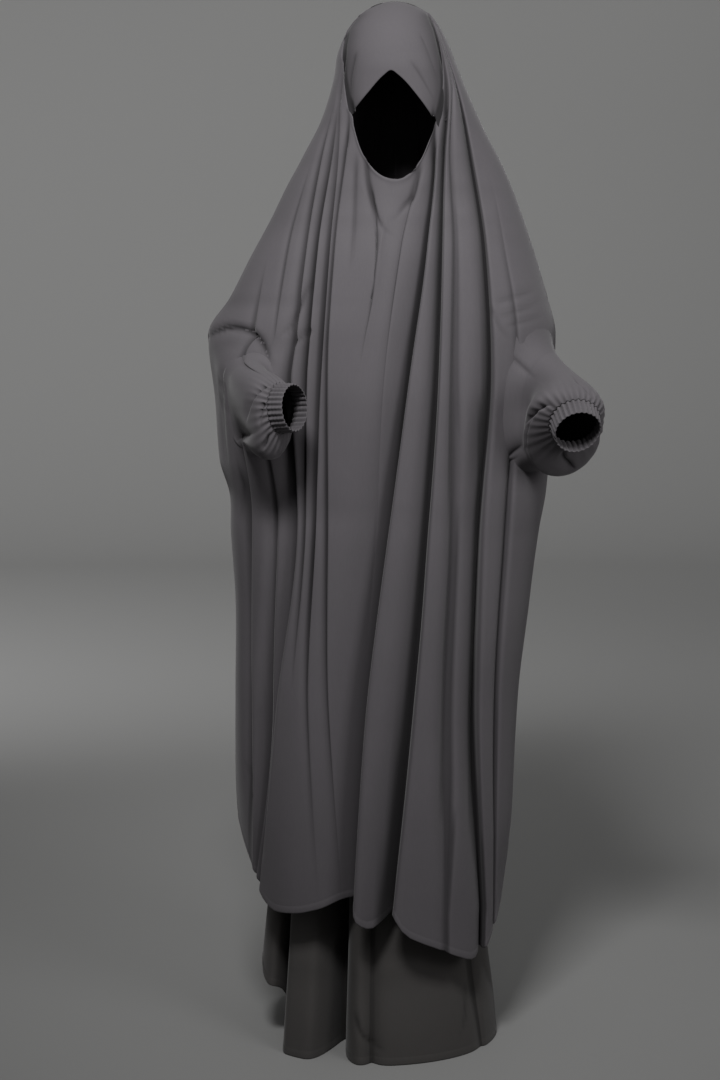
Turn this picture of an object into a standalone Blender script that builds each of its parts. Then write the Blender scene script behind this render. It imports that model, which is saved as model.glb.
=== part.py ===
"""Two-piece jilbab on an unseen wearer: a hooded over-garment with gathered sleeves, and a skirt.

Metres, +Z up, the front towards -Y. Heights in the tables are measured from the floor that the
skirt hem reaches. The finished pieces are lowered so that the inside of the hood's crown is the
origin. "Across" in a fold table is a share of the section's half width, -1 at the left outline and
+1 at the right one, as seen from the front.
"""
import math
from collections import namedtuple

import bmesh
import bpy
import numpy as np

CROWN_HEIGHT = 1.750
WALL = 0.002
SEAM_GAP = 0.0003
HALF_GAP = SEAM_GAP / 2
CUT_CLEARANCE = 0.0012
MILLIMETRE = 0.001

CLOTH_COLOUR = (0.125, 0.118, 0.125, 1.0)
UNDER_COLOUR = (0.105, 0.100, 0.104, 1.0)

Section = namedtuple("Section", "height left right front back")
CAPE_SECTIONS = [
    Section(1.750, 0.004, 0.004, 0.000, 0.000),
    Section(1.729, -0.052, 0.062, 0.056, 0.060),
    Section(1.705, -0.072, 0.080, 0.078, 0.085),
    Section(1.665, -0.089, 0.099, 0.097, 0.110),
    Section(1.630, -0.094, 0.113, 0.104, 0.122),
    Section(1.590, -0.104, 0.131, 0.104, 0.130),
    Section(1.550, -0.119, 0.150, 0.102, 0.135),
    Section(1.500, -0.147, 0.177, 0.100, 0.140),
    Section(1.450, -0.175, 0.200, 0.105, 0.148),
    Section(1.400, -0.199, 0.219, 0.118, 0.155),
    Section(1.330, -0.237, 0.243, 0.140, 0.163),
    Section(1.270, -0.268, 0.261, 0.150, 0.168),
    Section(1.207, -0.305, 0.275, 0.158, 0.172),
    Section(1.100, -0.294, 0.270, 0.165, 0.180),
    Section(1.000, -0.288, 0.266, 0.165, 0.188),
    Section(0.940, -0.272, 0.261, 0.165, 0.192),
    Section(0.880, -0.271, 0.251, 0.167, 0.196),
    Section(0.770, -0.263, 0.238, 0.170, 0.202),
    Section(0.600, -0.264, 0.218, 0.176, 0.212),
    Section(0.410, -0.265, 0.209, 0.182, 0.222),
    Section(0.300, -0.252, 0.200, 0.184, 0.226),
    Section(0.150, -0.232, 0.194, 0.184, 0.226),
]
SKIRT_SECTIONS = [
    Section(1.060, -0.140, 0.140, 0.095, 0.120),
    Section(0.960, -0.164, 0.158, 0.102, 0.126),
    Section(0.800, -0.178, 0.162, 0.096, 0.130),
    Section(0.500, -0.192, 0.162, 0.088, 0.140),
    Section(0.270, -0.208, 0.162, 0.088, 0.156),
    Section(0.150, -0.220, 0.170, 0.122, 0.184),
    Section(0.050, -0.232, 0.182, 0.158, 0.250),
    Section(0.000, -0.236, 0.186, 0.168, 0.266),
]

Levels = namedtuple("Levels", "crown ear chin chest elbow hip knee hem")
FOLD_HEIGHTS = Levels(1.70, 1.60, 1.50, 1.35, 1.15, 0.90, 0.60, 0.25)
FRONT_PLACES = {
    "left_wing": Levels(-0.96, -0.95, -0.94, -0.89, -0.76, -0.87, -0.90, -0.965),
    "under_arm": Levels(-0.95, -0.92, -0.88, -0.76, -0.63, -0.72, -0.81, -0.945),
    "left_lobe": Levels(-0.94, -0.90, -0.81, -0.64, -0.52, -0.60, -0.74, -0.92),
    "left_tuck": Levels(-0.935, -0.88, -0.73, -0.57, -0.45, -0.52, -0.59, -0.66),
    "left_hood": Levels(-0.93, -0.86, -0.66, -0.49, -0.38, -0.46, -0.50, -0.52),
    "left_hood_inner": Levels(-0.80, -0.66, -0.57, -0.44, -0.33, -0.38, -0.39, -0.40),
    "left_cowl": Levels(-0.40, -0.38, -0.34, -0.13, -0.14, -0.22, -0.29, -0.38),
    "right_cowl": Levels(0.20, 0.20, 0.16, 0.03, -0.01, -0.12, -0.22, -0.33),
    "centre_right": Levels(0.50, 0.45, 0.32, 0.20, 0.12, -0.03, -0.15, -0.27),
    "right_hood": Levels(0.84, 0.68, 0.42, 0.31, 0.29, 0.23, 0.20, 0.04),
    "right_hood_outer": Levels(0.87, 0.76, 0.50, 0.42, 0.40, 0.43, 0.49, 0.52),
    "right_lobe": Levels(0.91, 0.84, 0.69, 0.62, 0.60, 0.57, 0.66, 0.82),
    "right_wing": Levels(0.95, 0.92, 0.84, 0.76, 0.75, 0.76, 0.83, 0.91),
}
Depths = namedtuple("Depths", "crown ear chin chest elbow hip knee hem soft crisp lean")
FRONT_DEPTHS = {
    "left_wing": Depths(0, 0, 0, 0, 9, 18, 22, 4, 1.5, 0.70, 0.4),
    "under_arm": Depths(0, 0, 0, 4, 0, 14, 14, 3, 1.6, 0.90, 0.45),
    "left_lobe": Depths(0, 0, 8, 14, 22, 40, 44, 8, 1.3, 0.40, 0.5),
    "left_tuck": Depths(0, 0, 8, 12, 14, 7, 0, 0, 1.3, 0.45, 0.5),
    "left_hood": Depths(3, 8, 16, 20, 24, 14, 4, 0, 1.4, 0.40, 0.6),
    "left_hood_inner": Depths(0, 5, 7, 6, 7, 9, 4, 0, 1.5, 0.60, 0.45),
    "left_cowl": Depths(0, 0, 3, 5, 0, 0, 0, 0, 1.6, 1.60, 0.42),
    "right_cowl": Depths(0, 0, 3, 4, 2, 2, 0, 0, 1.6, 1.60, 0.42),
    "centre_right": Depths(0, 5, 13, 24, 36, 54, 72, 82, 1.70, 0.30, 0.45),
    "right_hood": Depths(2, 8, 17, 25, 32, 44, 60, 74, 0.9, 0.30, 0.42),
    "right_hood_outer": Depths(0, 4, 8, 11, 16, 28, 32, 10, 1.2, 1.10, 0.1),
    "right_lobe": Depths(2, 8, 16, 22, 32, 44, 46, 30, 1.3, 0.34, 0.6),
    "right_wing": Depths(0, 0, 0, 2, 6, 16, 14, 6, 1.5, 0.90, 0.3),
}
BACK_PLACES = {
    "back_a": Levels(0.90, 0.86, 0.82, 0.80, 0.80, 0.80, 0.81, 0.82),
    "back_b": Levels(0.72, 0.66, 0.60, 0.60, 0.62, 0.60, 0.59, 0.60),
    "back_c": Levels(0.50, 0.44, 0.40, 0.42, 0.44, 0.41, 0.38, 0.37),
    "back_d": Levels(0.26, 0.22, 0.20, 0.21, 0.20, 0.18, 0.15, 0.12),
    "back_e": Levels(0.00, -0.02, -0.04, -0.03, -0.02, -0.03, -0.06, -0.09),
    "back_f": Levels(-0.26, -0.27, -0.26, -0.25, -0.24, -0.25, -0.28, -0.31),
    "back_g": Levels(-0.52, -0.50, -0.46, -0.46, -0.46, -0.47, -0.50, -0.52),
    "back_h": Levels(-0.74, -0.70, -0.66, -0.66, -0.67, -0.67, -0.68, -0.70),
    "back_i": Levels(-0.90, -0.87, -0.84, -0.83, -0.83, -0.84, -0.85, -0.86),
}
BACK_DEPTHS = {
    "back_a": Depths(0, 0, 4, 8, 14, 20, 22, 20, 1.2, 0.6, 0.4),
    "back_b": Depths(0, 3, 9, 12, 18, 26, 34, 40, 0.5, 1.2, -0.5),
    "back_c": Depths(0, 0, 4, 6, 9, 16, 24, 26, 1.2, 1.0, 0.1),
    "back_d": Depths(0, 2, 8, 14, 20, 30, 38, 40, 0.5, 1.2, -0.5),
    "back_e": Depths(0, 0, 5, 7, 9, 14, 22, 30, 1.1, 1.0, 0.1),
    "back_f": Depths(0, 3, 9, 15, 21, 32, 39, 42, 1.2, 0.5, 0.5),
    "back_g": Depths(0, 0, 4, 7, 11, 17, 22, 24, 1.1, 1.0, -0.1),
    "back_h": Depths(0, 3, 8, 12, 18, 26, 34, 38, 1.2, 0.5, 0.5),
    "back_i": Depths(0, 0, 3, 7, 12, 18, 22, 22, 0.7, 1.1, -0.3),
}
SkirtLevels = namedtuple("SkirtLevels", "waist hip knee shin floor")
SKIRT_HEIGHTS = SkirtLevels(1.06, 0.80, 0.50, 0.20, 0.00)
SKIRT_FRONT_PLACES = {
    "skirt_left": SkirtLevels(-0.86, -0.86, -0.86, -0.84, -0.82),
    "skirt_valley": SkirtLevels(-0.30, -0.31, -0.34, -0.37, -0.37),
    "skirt_centre": SkirtLevels(0.22, 0.16, 0.06, -0.02, -0.03),
    "skirt_right": SkirtLevels(0.76, 0.78, 0.80, 0.82, 0.86),
}
SKIRT_BACK_PLACES = {
    "skirt_back_a": SkirtLevels(0.66, 0.66, 0.66, 0.66, 0.66),
    "skirt_back_b": SkirtLevels(0.24, 0.24, 0.23, 0.22, 0.22),
    "skirt_back_c": SkirtLevels(-0.20, -0.21, -0.22, -0.24, -0.25),
    "skirt_back_d": SkirtLevels(-0.62, -0.62, -0.63, -0.64, -0.65),
}
SkirtDepths = namedtuple("SkirtDepths", "waist hip knee shin floor soft crisp lean")
SKIRT_FRONT_DEPTHS = {
    "skirt_left": SkirtDepths(2, 10, 34, 56, 72, 0.50, 0.42, 0.0),
    "skirt_valley": SkirtDepths(2, 14, 64, 130, 160, 0.28, 0.36, 0.10),
    "skirt_centre": SkirtDepths(2, 6, 12, 18, 18, 1.80, 1.80, 0.0),
    "skirt_right": SkirtDepths(2, 6, 12, 14, 10, 1.50, 1.50, 0.0),
}
SKIRT_BACK_DEPTHS = {
    "skirt_back_a": SkirtDepths(2, 8, 20, 28, 34, 1.1, 1.1, 0.0),
    "skirt_back_b": SkirtDepths(2, 10, 26, 38, 46, 1.1, 1.1, 0.0),
    "skirt_back_c": SkirtDepths(2, 10, 24, 34, 42, 1.1, 1.1, 0.0),
    "skirt_back_d": SkirtDepths(2, 8, 22, 30, 36, 1.1, 1.1, 0.0),
}

HemPoint = namedtuple("HemPoint", "across height")
CAPE_HEM_FRONT = [
    HemPoint(-1.00, 0.375), HemPoint(-0.985, 0.345), HemPoint(-0.94, 0.297), HemPoint(-0.88, 0.266),
    HemPoint(-0.76, 0.250), HemPoint(-0.63, 0.253), HemPoint(-0.54, 0.260), HemPoint(-0.36, 0.278),
    HemPoint(-0.24, 0.276), HemPoint(-0.20, 0.262), HemPoint(-0.16, 0.246), HemPoint(-0.09, 0.235),
    HemPoint(-0.02, 0.246), HemPoint(0.04, 0.260), HemPoint(0.10, 0.260), HemPoint(0.15, 0.248),
    HemPoint(0.20, 0.230), HemPoint(0.31, 0.215), HemPoint(0.454, 0.200), HemPoint(0.62, 0.180),
    HemPoint(0.734, 0.170), HemPoint(0.826, 0.178), HemPoint(0.896, 0.205), HemPoint(0.956, 0.245),
    HemPoint(1.00, 0.330),
]
CAPE_HEM_BACK = [
    HemPoint(1.00, 0.330), HemPoint(0.956, 0.255), HemPoint(0.88, 0.218), HemPoint(0.70, 0.205),
    HemPoint(0.30, 0.190), HemPoint(0.00, 0.195), HemPoint(-0.40, 0.215), HemPoint(-0.80, 0.252),
    HemPoint(-0.90, 0.276), HemPoint(-0.96, 0.315), HemPoint(-1.00, 0.375),
]
SKIRT_HEM_FRONT = [
    HemPoint(-1.00, 0.128), HemPoint(-0.97, 0.110), HemPoint(-0.91, 0.100), HemPoint(-0.85, 0.096),
    HemPoint(-0.82, 0.050), HemPoint(-0.79, 0.004), HemPoint(-0.74, 0.000), HemPoint(1.00, 0.000),
]
SKIRT_HEM_BACK = [
    HemPoint(-1.00, 0.128), HemPoint(-0.94, 0.110), HemPoint(-0.86, 0.100), HemPoint(-0.76, 0.030),
    HemPoint(-0.66, 0.000), HemPoint(1.00, 0.000),
]

OutlinePoint = namedtuple("OutlinePoint", "x height")
PATCH_LEFT = [
    OutlinePoint(-0.064, 1.737), OutlinePoint(-0.073, 1.702), OutlinePoint(-0.081, 1.666),
    OutlinePoint(-0.082, 1.630), OutlinePoint(-0.078, 1.598), OutlinePoint(-0.066, 1.566),
]
PATCH_RIGHT = [
    OutlinePoint(0.069, 1.552), OutlinePoint(0.079, 1.580), OutlinePoint(0.084, 1.614),
    OutlinePoint(0.081, 1.655), OutlinePoint(0.074, 1.692), OutlinePoint(0.058, 1.735),
]
FACE_TOP = [
    OutlinePoint(-0.066, 1.566), OutlinePoint(-0.040, 1.596), OutlinePoint(-0.014, 1.623),
    OutlinePoint(-0.003, 1.630), OutlinePoint(0.010, 1.622), OutlinePoint(0.042, 1.588),
    OutlinePoint(0.069, 1.552),
]
FACE_BOTTOM = [
    OutlinePoint(-0.066, 1.566), OutlinePoint(-0.056, 1.515), OutlinePoint(-0.036, 1.476),
    OutlinePoint(-0.010, 1.456), OutlinePoint(0.010, 1.452), OutlinePoint(0.028, 1.462),
    OutlinePoint(0.050, 1.497), OutlinePoint(0.069, 1.552),
]

SleeveShape = namedtuple("SleeveShape", "angle spread height rise drop root_ahead wrist ahead "
                         "half_width wrist_rise wrist_drop")
RIGHT_SLEEVE = SleeveShape(-44.5, 10, 1.090, 0.084, 0.068, (0.10, -0.99, 0.02),
                           (-0.176, -0.222, 1.100), (0.76, -0.64, 0.06), 0.034, 0.040, 0.043)
LEFT_SLEEVE = SleeveShape(63, 19, 1.088, 0.112, 0.100, (0.42, -0.90, 0.02),
                          (0.284, -0.228, 1.080), (0.12, -0.82, -0.56), 0.041, 0.043, 0.046)
Quarters = namedtuple("Quarters", "outer top inner bottom")
RIGHT_LEAVE = Quarters(0.10, 0.25, 0.10, 0.10)
RIGHT_SWELL = Quarters(0.022, 0.022, 0.020, 0.072)
RIGHT_RUN = Quarters(0.055, 0.060, 0.045, 0.085)
LEFT_LEAVE = Quarters(0.55, 0.45, 0.30, 0.20)
LEFT_SWELL = Quarters(0.084, 0.022, 0.040, 0.118)
LEFT_RUN = Quarters(0.095, 0.090, 0.090, 0.100)
WRIST_RUN = 0.026
HOLE_SQUARENESS = 0.85
HOLE_DEPTH = 0.030

CuffRing = namedtuple("CuffRing", "along size gather")
CUFF_SHAPE = [
    CuffRing(0.0003, 0.980, 1.0), CuffRing(0.0090, 0.940, 0.8),
    CuffRing(0.0200, 0.930, 0.7), CuffRing(0.0290, 0.900, 0.5),
]
GATHERS = 28
GATHER_DEPTH = 0.0028
SLEEVE_SIDES = 2 * GATHERS
SLEEVE_RINGS = 8

CAPE_ROWS = 24
BACK_ROWS = 22
FRONT_STOPS = (0.0, 0.18, 0.40, 0.70)
BACK_STOPS = (0.0, 0.30, 0.65)
SKIRT_STOPS = (0.0, 0.20, 0.40, 0.60, 0.80)
LIP_SHARE = 0.40
PUSH_TURN = 0.75
SKIRT_PUSH_TURN = 0.40
FOLD_BEGINS = 0.07
MOST_ACROSS = 0.985
LEAST_TURN = 0.012
LEAST_SOFT = 0.020
LEAST_CRISP = 0.012
STEEPEST = 0.55
PATCH_STEPS = 20
PATCH_ROWS = 12
PATCH_DROP = 0.215
SKIRT_ROWS = 9
WAISTBAND_HEIGHT = 0.035
WAISTBAND_SIDES = 48
OUTLINE_STEPS = 5
CUT_FRONT = -0.30
CUT_BACK = 0.10
CUT_TOP = 1.80
CUT_SIDE = 0.11

Swell = namedtuple("Swell", "angle spread height rise drop out")
ARM_SWELLS = [
    Swell(-50, 30, 1.140, 0.080, 0.230, 0.026),
    Swell(52, 30, 1.230, 0.140, 0.150, 0.010),
]
Side = namedtuple("Side", "sections places depths heights behind turn swells")
CAPE_FRONT = Side(CAPE_SECTIONS, FRONT_PLACES, FRONT_DEPTHS, FOLD_HEIGHTS, False, PUSH_TURN,
                  ARM_SWELLS)
CAPE_BACK = Side(CAPE_SECTIONS, BACK_PLACES, BACK_DEPTHS, FOLD_HEIGHTS, True, PUSH_TURN, [])
SKIRT_FRONT = Side(SKIRT_SECTIONS, SKIRT_FRONT_PLACES, SKIRT_FRONT_DEPTHS, SKIRT_HEIGHTS,
                   False, SKIRT_PUSH_TURN, [])
SKIRT_BACK = Side(SKIRT_SECTIONS, SKIRT_BACK_PLACES, SKIRT_BACK_DEPTHS, SKIRT_HEIGHTS,
                  True, SKIRT_PUSH_TURN, [])


def smooth_values(places, values, wanted):
    """A curve through the given values that never overshoots them."""
    order = np.argsort(places)
    x = np.asarray(places, float)[order]
    y = np.asarray(values, float)[order]
    wanted = np.clip(wanted, x[0], x[-1])
    run = np.diff(x)
    slope = np.diff(y) / run
    tangent = np.zeros(len(x))
    tangent[0] = slope[0]
    tangent[-1] = slope[-1]
    for i in range(1, len(x) - 1):
        if slope[i - 1] * slope[i] > 0:
            near = 2 * run[i] + run[i - 1]
            far = run[i] + 2 * run[i - 1]
            tangent[i] = (near + far) / (near / slope[i - 1] + far / slope[i])
    k = np.clip(np.searchsorted(x, wanted) - 1, 0, len(x) - 2)
    t = (wanted - x[k]) / run[k]
    return ((2 * t**3 - 3 * t**2 + 1) * y[k] + (t**3 - 2 * t**2 + t) * run[k] * tangent[k]
            + (3 * t**2 - 2 * t**3) * y[k + 1] + (t**3 - t**2) * run[k] * tangent[k + 1])


def section_at(sections, height):
    """Centre, half width, front depth and back depth of the draped cloth at each height."""
    heights = [s.height for s in sections]
    left = np.array([s.left for s in sections])
    right = np.array([s.right for s in sections])
    centre = smooth_values(heights, (left + right) / 2, height)
    half = np.sqrt(np.maximum(smooth_values(heights, ((right - left) / 2) ** 2, height), 0))
    front = np.sqrt(np.maximum(smooth_values(heights, [s.front**2 for s in sections], height), 0))
    back = np.sqrt(np.maximum(smooth_values(heights, [s.back**2 for s in sections], height), 0))
    return centre, half, front, back


def fold_angles(side, height):
    """Angle round the section of each fold line, from one side seam to the other."""
    levels = np.array(side.heights)
    level_centre, level_half, _, _ = section_at(side.sections, levels)
    within = np.clip(height, levels.min(), levels.max())
    centre, half, _, _ = section_at(side.sections, within)
    start = np.full_like(height, math.pi / 2 if side.behind else -math.pi / 2)
    lines = [start]
    for across in side.places.values():
        x = smooth_values(levels, level_centre + level_half * np.array(across), within)
        angle = np.arcsin(np.clip((x - centre) / half, -MOST_ACROSS, MOST_ACROSS))
        angle = math.pi - angle if side.behind else angle
        lines.append(np.maximum(angle, lines[-1] + LEAST_TURN))
    return np.array(lines + [start + math.pi])


def fold_depths(side, height):
    """Depth of each fold line at each height."""
    levels = len(side.heights)
    fade = np.clip((CROWN_HEIGHT - height) / FOLD_BEGINS, 0, 1)
    return np.array([smooth_values(side.heights, row[:levels], height) * MILLIMETRE * fade
                     for row in side.depths.values()])


def radius_at(angle, half, deep):
    """Length round the section for a small turn."""
    return np.sqrt((half * np.cos(angle)) ** 2 + (deep * np.sin(angle)) ** 2)


def soft_side(distance, width):
    """The slow roll into a fold: 1 at its line, 0 past its width."""
    near = np.clip(1 - distance / width, 0, 1)
    return near**2 * (0.45 + 0.55 * near)


def crisp_side(distance, width):
    """The round lip out of a fold: 1 at its line, 0 past its width."""
    near = np.clip(1 - distance / width, 0, 1)
    return 0.8 * (1 - np.sqrt(1 - near**2)) + 0.2 * near**2


def lip_shares(side, height):
    """Share of each strip between two fold lines that the first one's lip takes up."""
    lines = fold_angles(side, height)
    depth = fold_depths(side, height)
    _, half, front, back = section_at(side.sections, height)
    deep = back if side.behind else front
    shares = [np.full_like(height, 0.3)]
    for row, line, after, drop in zip(side.depths.values(), lines[1:-1], lines[2:], depth):
        width = np.maximum(row.crisp * drop, LEAST_CRISP)
        strip = (after - line) * radius_at((line + after) / 2, half, deep)
        shares.append(np.clip(width / np.maximum(strip, 1e-6), 0.10, 0.60))
    return np.array(shares)


def panel_angles(side, position, height):
    """Angle at each position, which counts fold lines and crowds towards their lips."""
    lines = fold_angles(side, height)
    lips = lip_shares(side, height)
    number = np.clip(np.floor(position).astype(int), 0, len(lines) - 2)
    each = np.arange(len(height))
    step = position - number
    lip = lips[number, each]
    share = np.where(step < LIP_SHARE, lip * step / LIP_SHARE,
                     lip + (1 - lip) * (step - LIP_SHARE) / (1 - LIP_SHARE))
    return lines[number, each] * (1 - share) + lines[number + 1, each] * share


def cloth_at(side, angle, height):
    """The section's point, the point on the draped cloth, and which way its wall is pushed."""
    centre, half, front, back = section_at(side.sections, height)
    deep = back if side.behind else front
    base = np.stack([centre + half * np.sin(angle), -deep * np.cos(angle),
                     height - CROWN_HEIGHT + WALL], axis=1)
    middle = math.pi if side.behind else 0.0
    turned = (angle - middle) / (math.pi / 2)
    facing = middle + side.turn * (angle - middle) + (1 - side.turn) * math.pi / 2 * turned**5
    outwards = np.stack([np.sin(facing), -np.cos(facing), np.zeros_like(facing)], axis=1)
    sideways = np.stack([np.cos(facing), np.sin(facing), np.zeros_like(facing)], axis=1)
    pulled = np.zeros_like(height)
    lines = fold_angles(side, height)
    depth = fold_depths(side, height)
    for row, line, drop in zip(side.depths.values(), lines[1:-1], depth):
        past = (angle - line) * radius_at((angle + line) / 2, half, deep)
        soft = np.maximum(row.soft * drop, LEAST_SOFT)
        crisp = np.maximum(row.crisp * drop, LEAST_CRISP)
        pulled += np.where(past < 0, soft_side(-past, soft), crisp_side(past, crisp)) * drop
    for row in side.swells:
        aside = np.clip(1 - np.abs(np.degrees(angle) - row.angle) / row.spread, 0, 1)
        reach = np.where(height > row.height, row.rise, row.drop)
        level = np.clip(1 - np.abs(height - row.height) / reach, 0, 1)
        pulled -= aside**2 * (3 - 2 * aside) * level**2 * (3 - 2 * level) * row.out
    edge = np.clip(np.cos(angle - middle) / 0.25, 0, 1)
    pulled *= edge * edge * (3 - 2 * edge)
    leans = np.array([0.0] + [row.lean for row in side.depths.values()] + [0.0])
    number = np.clip((lines < angle).sum(axis=0) - 1, 0, len(lines) - 2)
    each = np.arange(len(height))
    share = (angle - lines[number, each]) / (lines[number + 1, each] - lines[number, each])
    share = np.clip(share, 0, 1)
    share = share * share * (3 - 2 * share)
    lean = leans[number] * (1 - share) + leans[number + 1] * share
    push = sideways * lean[:, None] - outwards
    return base, base + push * pulled[:, None], push


def row_share(rows):
    """Share of the way from crown to hem for each row, close together over the crown."""
    turn = np.linspace(0, 1, rows + 1)
    return 0.30 * turn**2 + 0.70 * turn**1.45


def grid_normals(grid, seams=False):
    """Outward direction at each point of a grid, level across a seam at its two side columns."""
    down = np.gradient(grid, axis=0)
    along = np.gradient(grid, axis=1)
    normal = np.cross(down, along)
    size = np.linalg.norm(normal, axis=2)
    normal[size < 1e-12] = (0, 0, 1)
    if seams:
        for column in (0, -1):
            normal[:, column, 1] = 0
        normal[0] = (0, 0, 1)
    return normal / np.maximum(np.linalg.norm(normal, axis=2), 1e-12)[:, :, None]


def wall_of(side, angles, heights, thickness, seams=True):
    """Outer and inner points of a draped wall, from grids of angles and heights."""
    shape = angles.shape + (3,)
    base, cloth, push = (a.reshape(shape) for a in cloth_at(side, angles.ravel(), heights.ravel()))
    plain = grid_normals(base, seams)
    level = np.linalg.norm(plain[:, :, :2], axis=2)
    inwards = push * level[:, :, None]
    inwards[:, :, 2] = -plain[:, :, 2]
    inwards /= np.linalg.norm(inwards, axis=2)[:, :, None]
    square = -(grid_normals(cloth, seams) * inwards).sum(axis=2)
    return cloth, cloth + inwards * (thickness / np.maximum(square, STEEPEST))[:, :, None]


def grid_object(name, outer, inner, material):
    """A wall of cloth from its outer and inner points, closed round its edges."""
    rows, columns = outer.shape[:2]
    size = rows * columns
    faces = []
    for r in range(rows - 1):
        for c in range(columns - 1):
            a = r * columns + c
            for half in ((a, a + columns, a + columns + 1), (a, a + columns + 1, a + 1)):
                faces.append(half)
                faces.append(tuple(size + corner for corner in reversed(half)))
    rim = [(0, c) for c in range(columns - 1)]
    rim += [(r, columns - 1) for r in range(rows - 1)]
    rim += [(rows - 1, c) for c in range(columns - 1, 0, -1)]
    rim += [(r, 0) for r in range(rows - 1, 0, -1)]
    edge = [r * columns + c for r, c in rim]
    for a, b in zip(edge, edge[1:] + edge[:1]):
        faces.append((a, b, size + b, size + a))
    mesh = bpy.data.meshes.new(name)
    mesh.from_pydata([tuple(p) for p in np.concatenate([outer, inner]).reshape(-1, 3)], [], faces)
    work = bmesh.new()
    work.from_mesh(mesh)
    bmesh.ops.remove_doubles(work, verts=work.verts, dist=1e-6)
    bmesh.ops.dissolve_degenerate(work, dist=1e-6, edges=work.edges)
    bmesh.ops.recalc_face_normals(work, faces=work.faces)
    work.to_mesh(mesh)
    work.free()
    mesh.materials.append(material)
    mesh.shade_smooth()
    panel = bpy.data.objects.new(name, mesh)
    bpy.context.scene.collection.objects.link(panel)
    return panel


def finish_sheet(name, mesh, material):
    """Gives a one-layer mesh its material and its cloth thickness."""
    mesh.materials.append(material)
    mesh.shade_smooth()
    sheet = bpy.data.objects.new(name, mesh)
    bpy.context.scene.collection.objects.link(sheet)
    wall = sheet.modifiers.new("cloth thickness", "SOLIDIFY")
    wall.thickness = WALL
    wall.offset = -1.0
    wall.use_even_offset = False
    wall.use_rim = True
    return sheet


def cloth_material(name, colour):
    """Matte woven crepe."""
    material = bpy.data.materials.new(name)
    material.use_nodes = True
    shader = material.node_tree.nodes["Principled BSDF"]
    shader.inputs["Base Color"].default_value = colour
    shader.inputs["Roughness"].default_value = 0.82
    shader.inputs["Metallic"].default_value = 0.0
    return material


def stops(side, shares):
    """Positions of a panel's columns, a few to each strip between fold lines."""
    strips = len(side.places) + 1
    return np.array([n + s for n in range(strips) for s in shares] + [strips], float)


def seamed(grid, side):
    """Sets the grid's two side columns half a seam gap off the plane of the side seams."""
    gap = HALF_GAP if side.behind else -HALF_GAP
    for column in (0, -1):
        grid[:, column, 1] = gap
    crown = np.abs(grid[:, :, 1]) < HALF_GAP
    grid[crown, 1] = gap
    return grid


def hem_height(points, across):
    """Height of a hem at each place across the section."""
    return smooth_values([p.across for p in points], [p.height for p in points], across)


def cape_panel(name, side, material, shares, rows):
    """Front or back of the over-garment, from the crown to the hem."""
    position = stops(side, shares)
    low = panel_angles(side, position, np.full(len(position), FOLD_HEIGHTS.hem))
    hem = hem_height(CAPE_HEM_BACK if side.behind else CAPE_HEM_FRONT, np.sin(low))
    heights = np.array([CROWN_HEIGHT - down * (CROWN_HEIGHT - hem) for down in row_share(rows)])
    angles = np.array([panel_angles(side, position, row) for row in heights])
    outer, inner = wall_of(side, angles, heights, WALL)
    return grid_object(name, seamed(outer, side), seamed(inner, side), material)


def rounded(outline):
    """The outline's points joined by a smooth curve."""
    x = np.array([p.x for p in outline])
    z = np.array([p.height for p in outline])
    run = np.concatenate([[0], np.cumsum(np.hypot(np.diff(x), np.diff(z)))])
    wanted = np.linspace(0, run[-1], OUTLINE_STEPS * (len(outline) - 1) + 1)
    return [OutlinePoint(a, b) for a, b in
            zip(smooth_values(run, x, wanted), smooth_values(run, z, wanted))]


def as_cutter(cutter):
    """Hides a cutter from renders and shows it as wire."""
    bpy.context.scene.collection.objects.link(cutter)
    cutter.hide_render = True
    cutter.display_type = "WIRE"
    return cutter


def prism(name, outline):
    """A cutter: the outline in the front view, pushed straight back."""
    mesh = bpy.data.meshes.new(name)
    work = bmesh.new()
    corners = [work.verts.new((p.x, CUT_FRONT, p.height - CROWN_HEIGHT + WALL)) for p in outline]
    face = work.faces.new(corners)
    extruded = bmesh.ops.extrude_face_region(work, geom=[face])
    moved = [v for v in extruded["geom"] if isinstance(v, bmesh.types.BMVert)]
    bmesh.ops.translate(work, vec=(0, CUT_BACK - CUT_FRONT, 0), verts=moved)
    bmesh.ops.recalc_face_normals(work, faces=work.faces)
    work.to_mesh(mesh)
    work.free()
    return as_cutter(bpy.data.objects.new(name, mesh))


def cut(piece, cutter, operation="DIFFERENCE"):
    """Adds an exact Boolean to a piece."""
    boolean = piece.modifiers.new("cut by " + cutter.name, "BOOLEAN")
    boolean.operation = operation
    boolean.object = cutter
    boolean.solver = "EXACT"


def window_outline(inset):
    """The front of the hood that the forehead panel and the face opening take up."""
    left = [OutlinePoint(p.x + inset, p.height) for p in rounded(PATCH_LEFT)]
    right = [OutlinePoint(p.x - inset, p.height) for p in rounded(PATCH_RIGHT)]
    return left, right, [OutlinePoint(CUT_SIDE, CUT_TOP), OutlinePoint(-CUT_SIDE, CUT_TOP)]


def forehead_panel(material):
    """Smooth panel over the brow, with its pointed arch over the face."""
    columns = PATCH_STEPS + 1
    angle = np.linspace(-math.pi / 2, math.pi / 2, columns)
    rows = []
    for down in np.linspace(0, 1, PATCH_ROWS) ** 1.7:
        height = np.full(columns, CROWN_HEIGHT - down * PATCH_DROP)
        centre, half, front, _ = section_at(CAPE_SECTIONS, height)
        rows.append(np.stack([centre + half * np.sin(angle), -front * np.cos(angle),
                              height - CROWN_HEIGHT + WALL], axis=1))
    outer = seamed(np.array(rows), CAPE_FRONT)
    inner = seamed(outer - WALL * grid_normals(outer, True), CAPE_FRONT)
    panel = grid_object("forehead_panel", outer, inner, material)
    left, right, over = window_outline(HALF_GAP)
    arch = rounded(FACE_TOP)[1:-1]
    cut(panel, prism("forehead outline", left + arch + right + over), "INTERSECT")
    return panel


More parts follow.
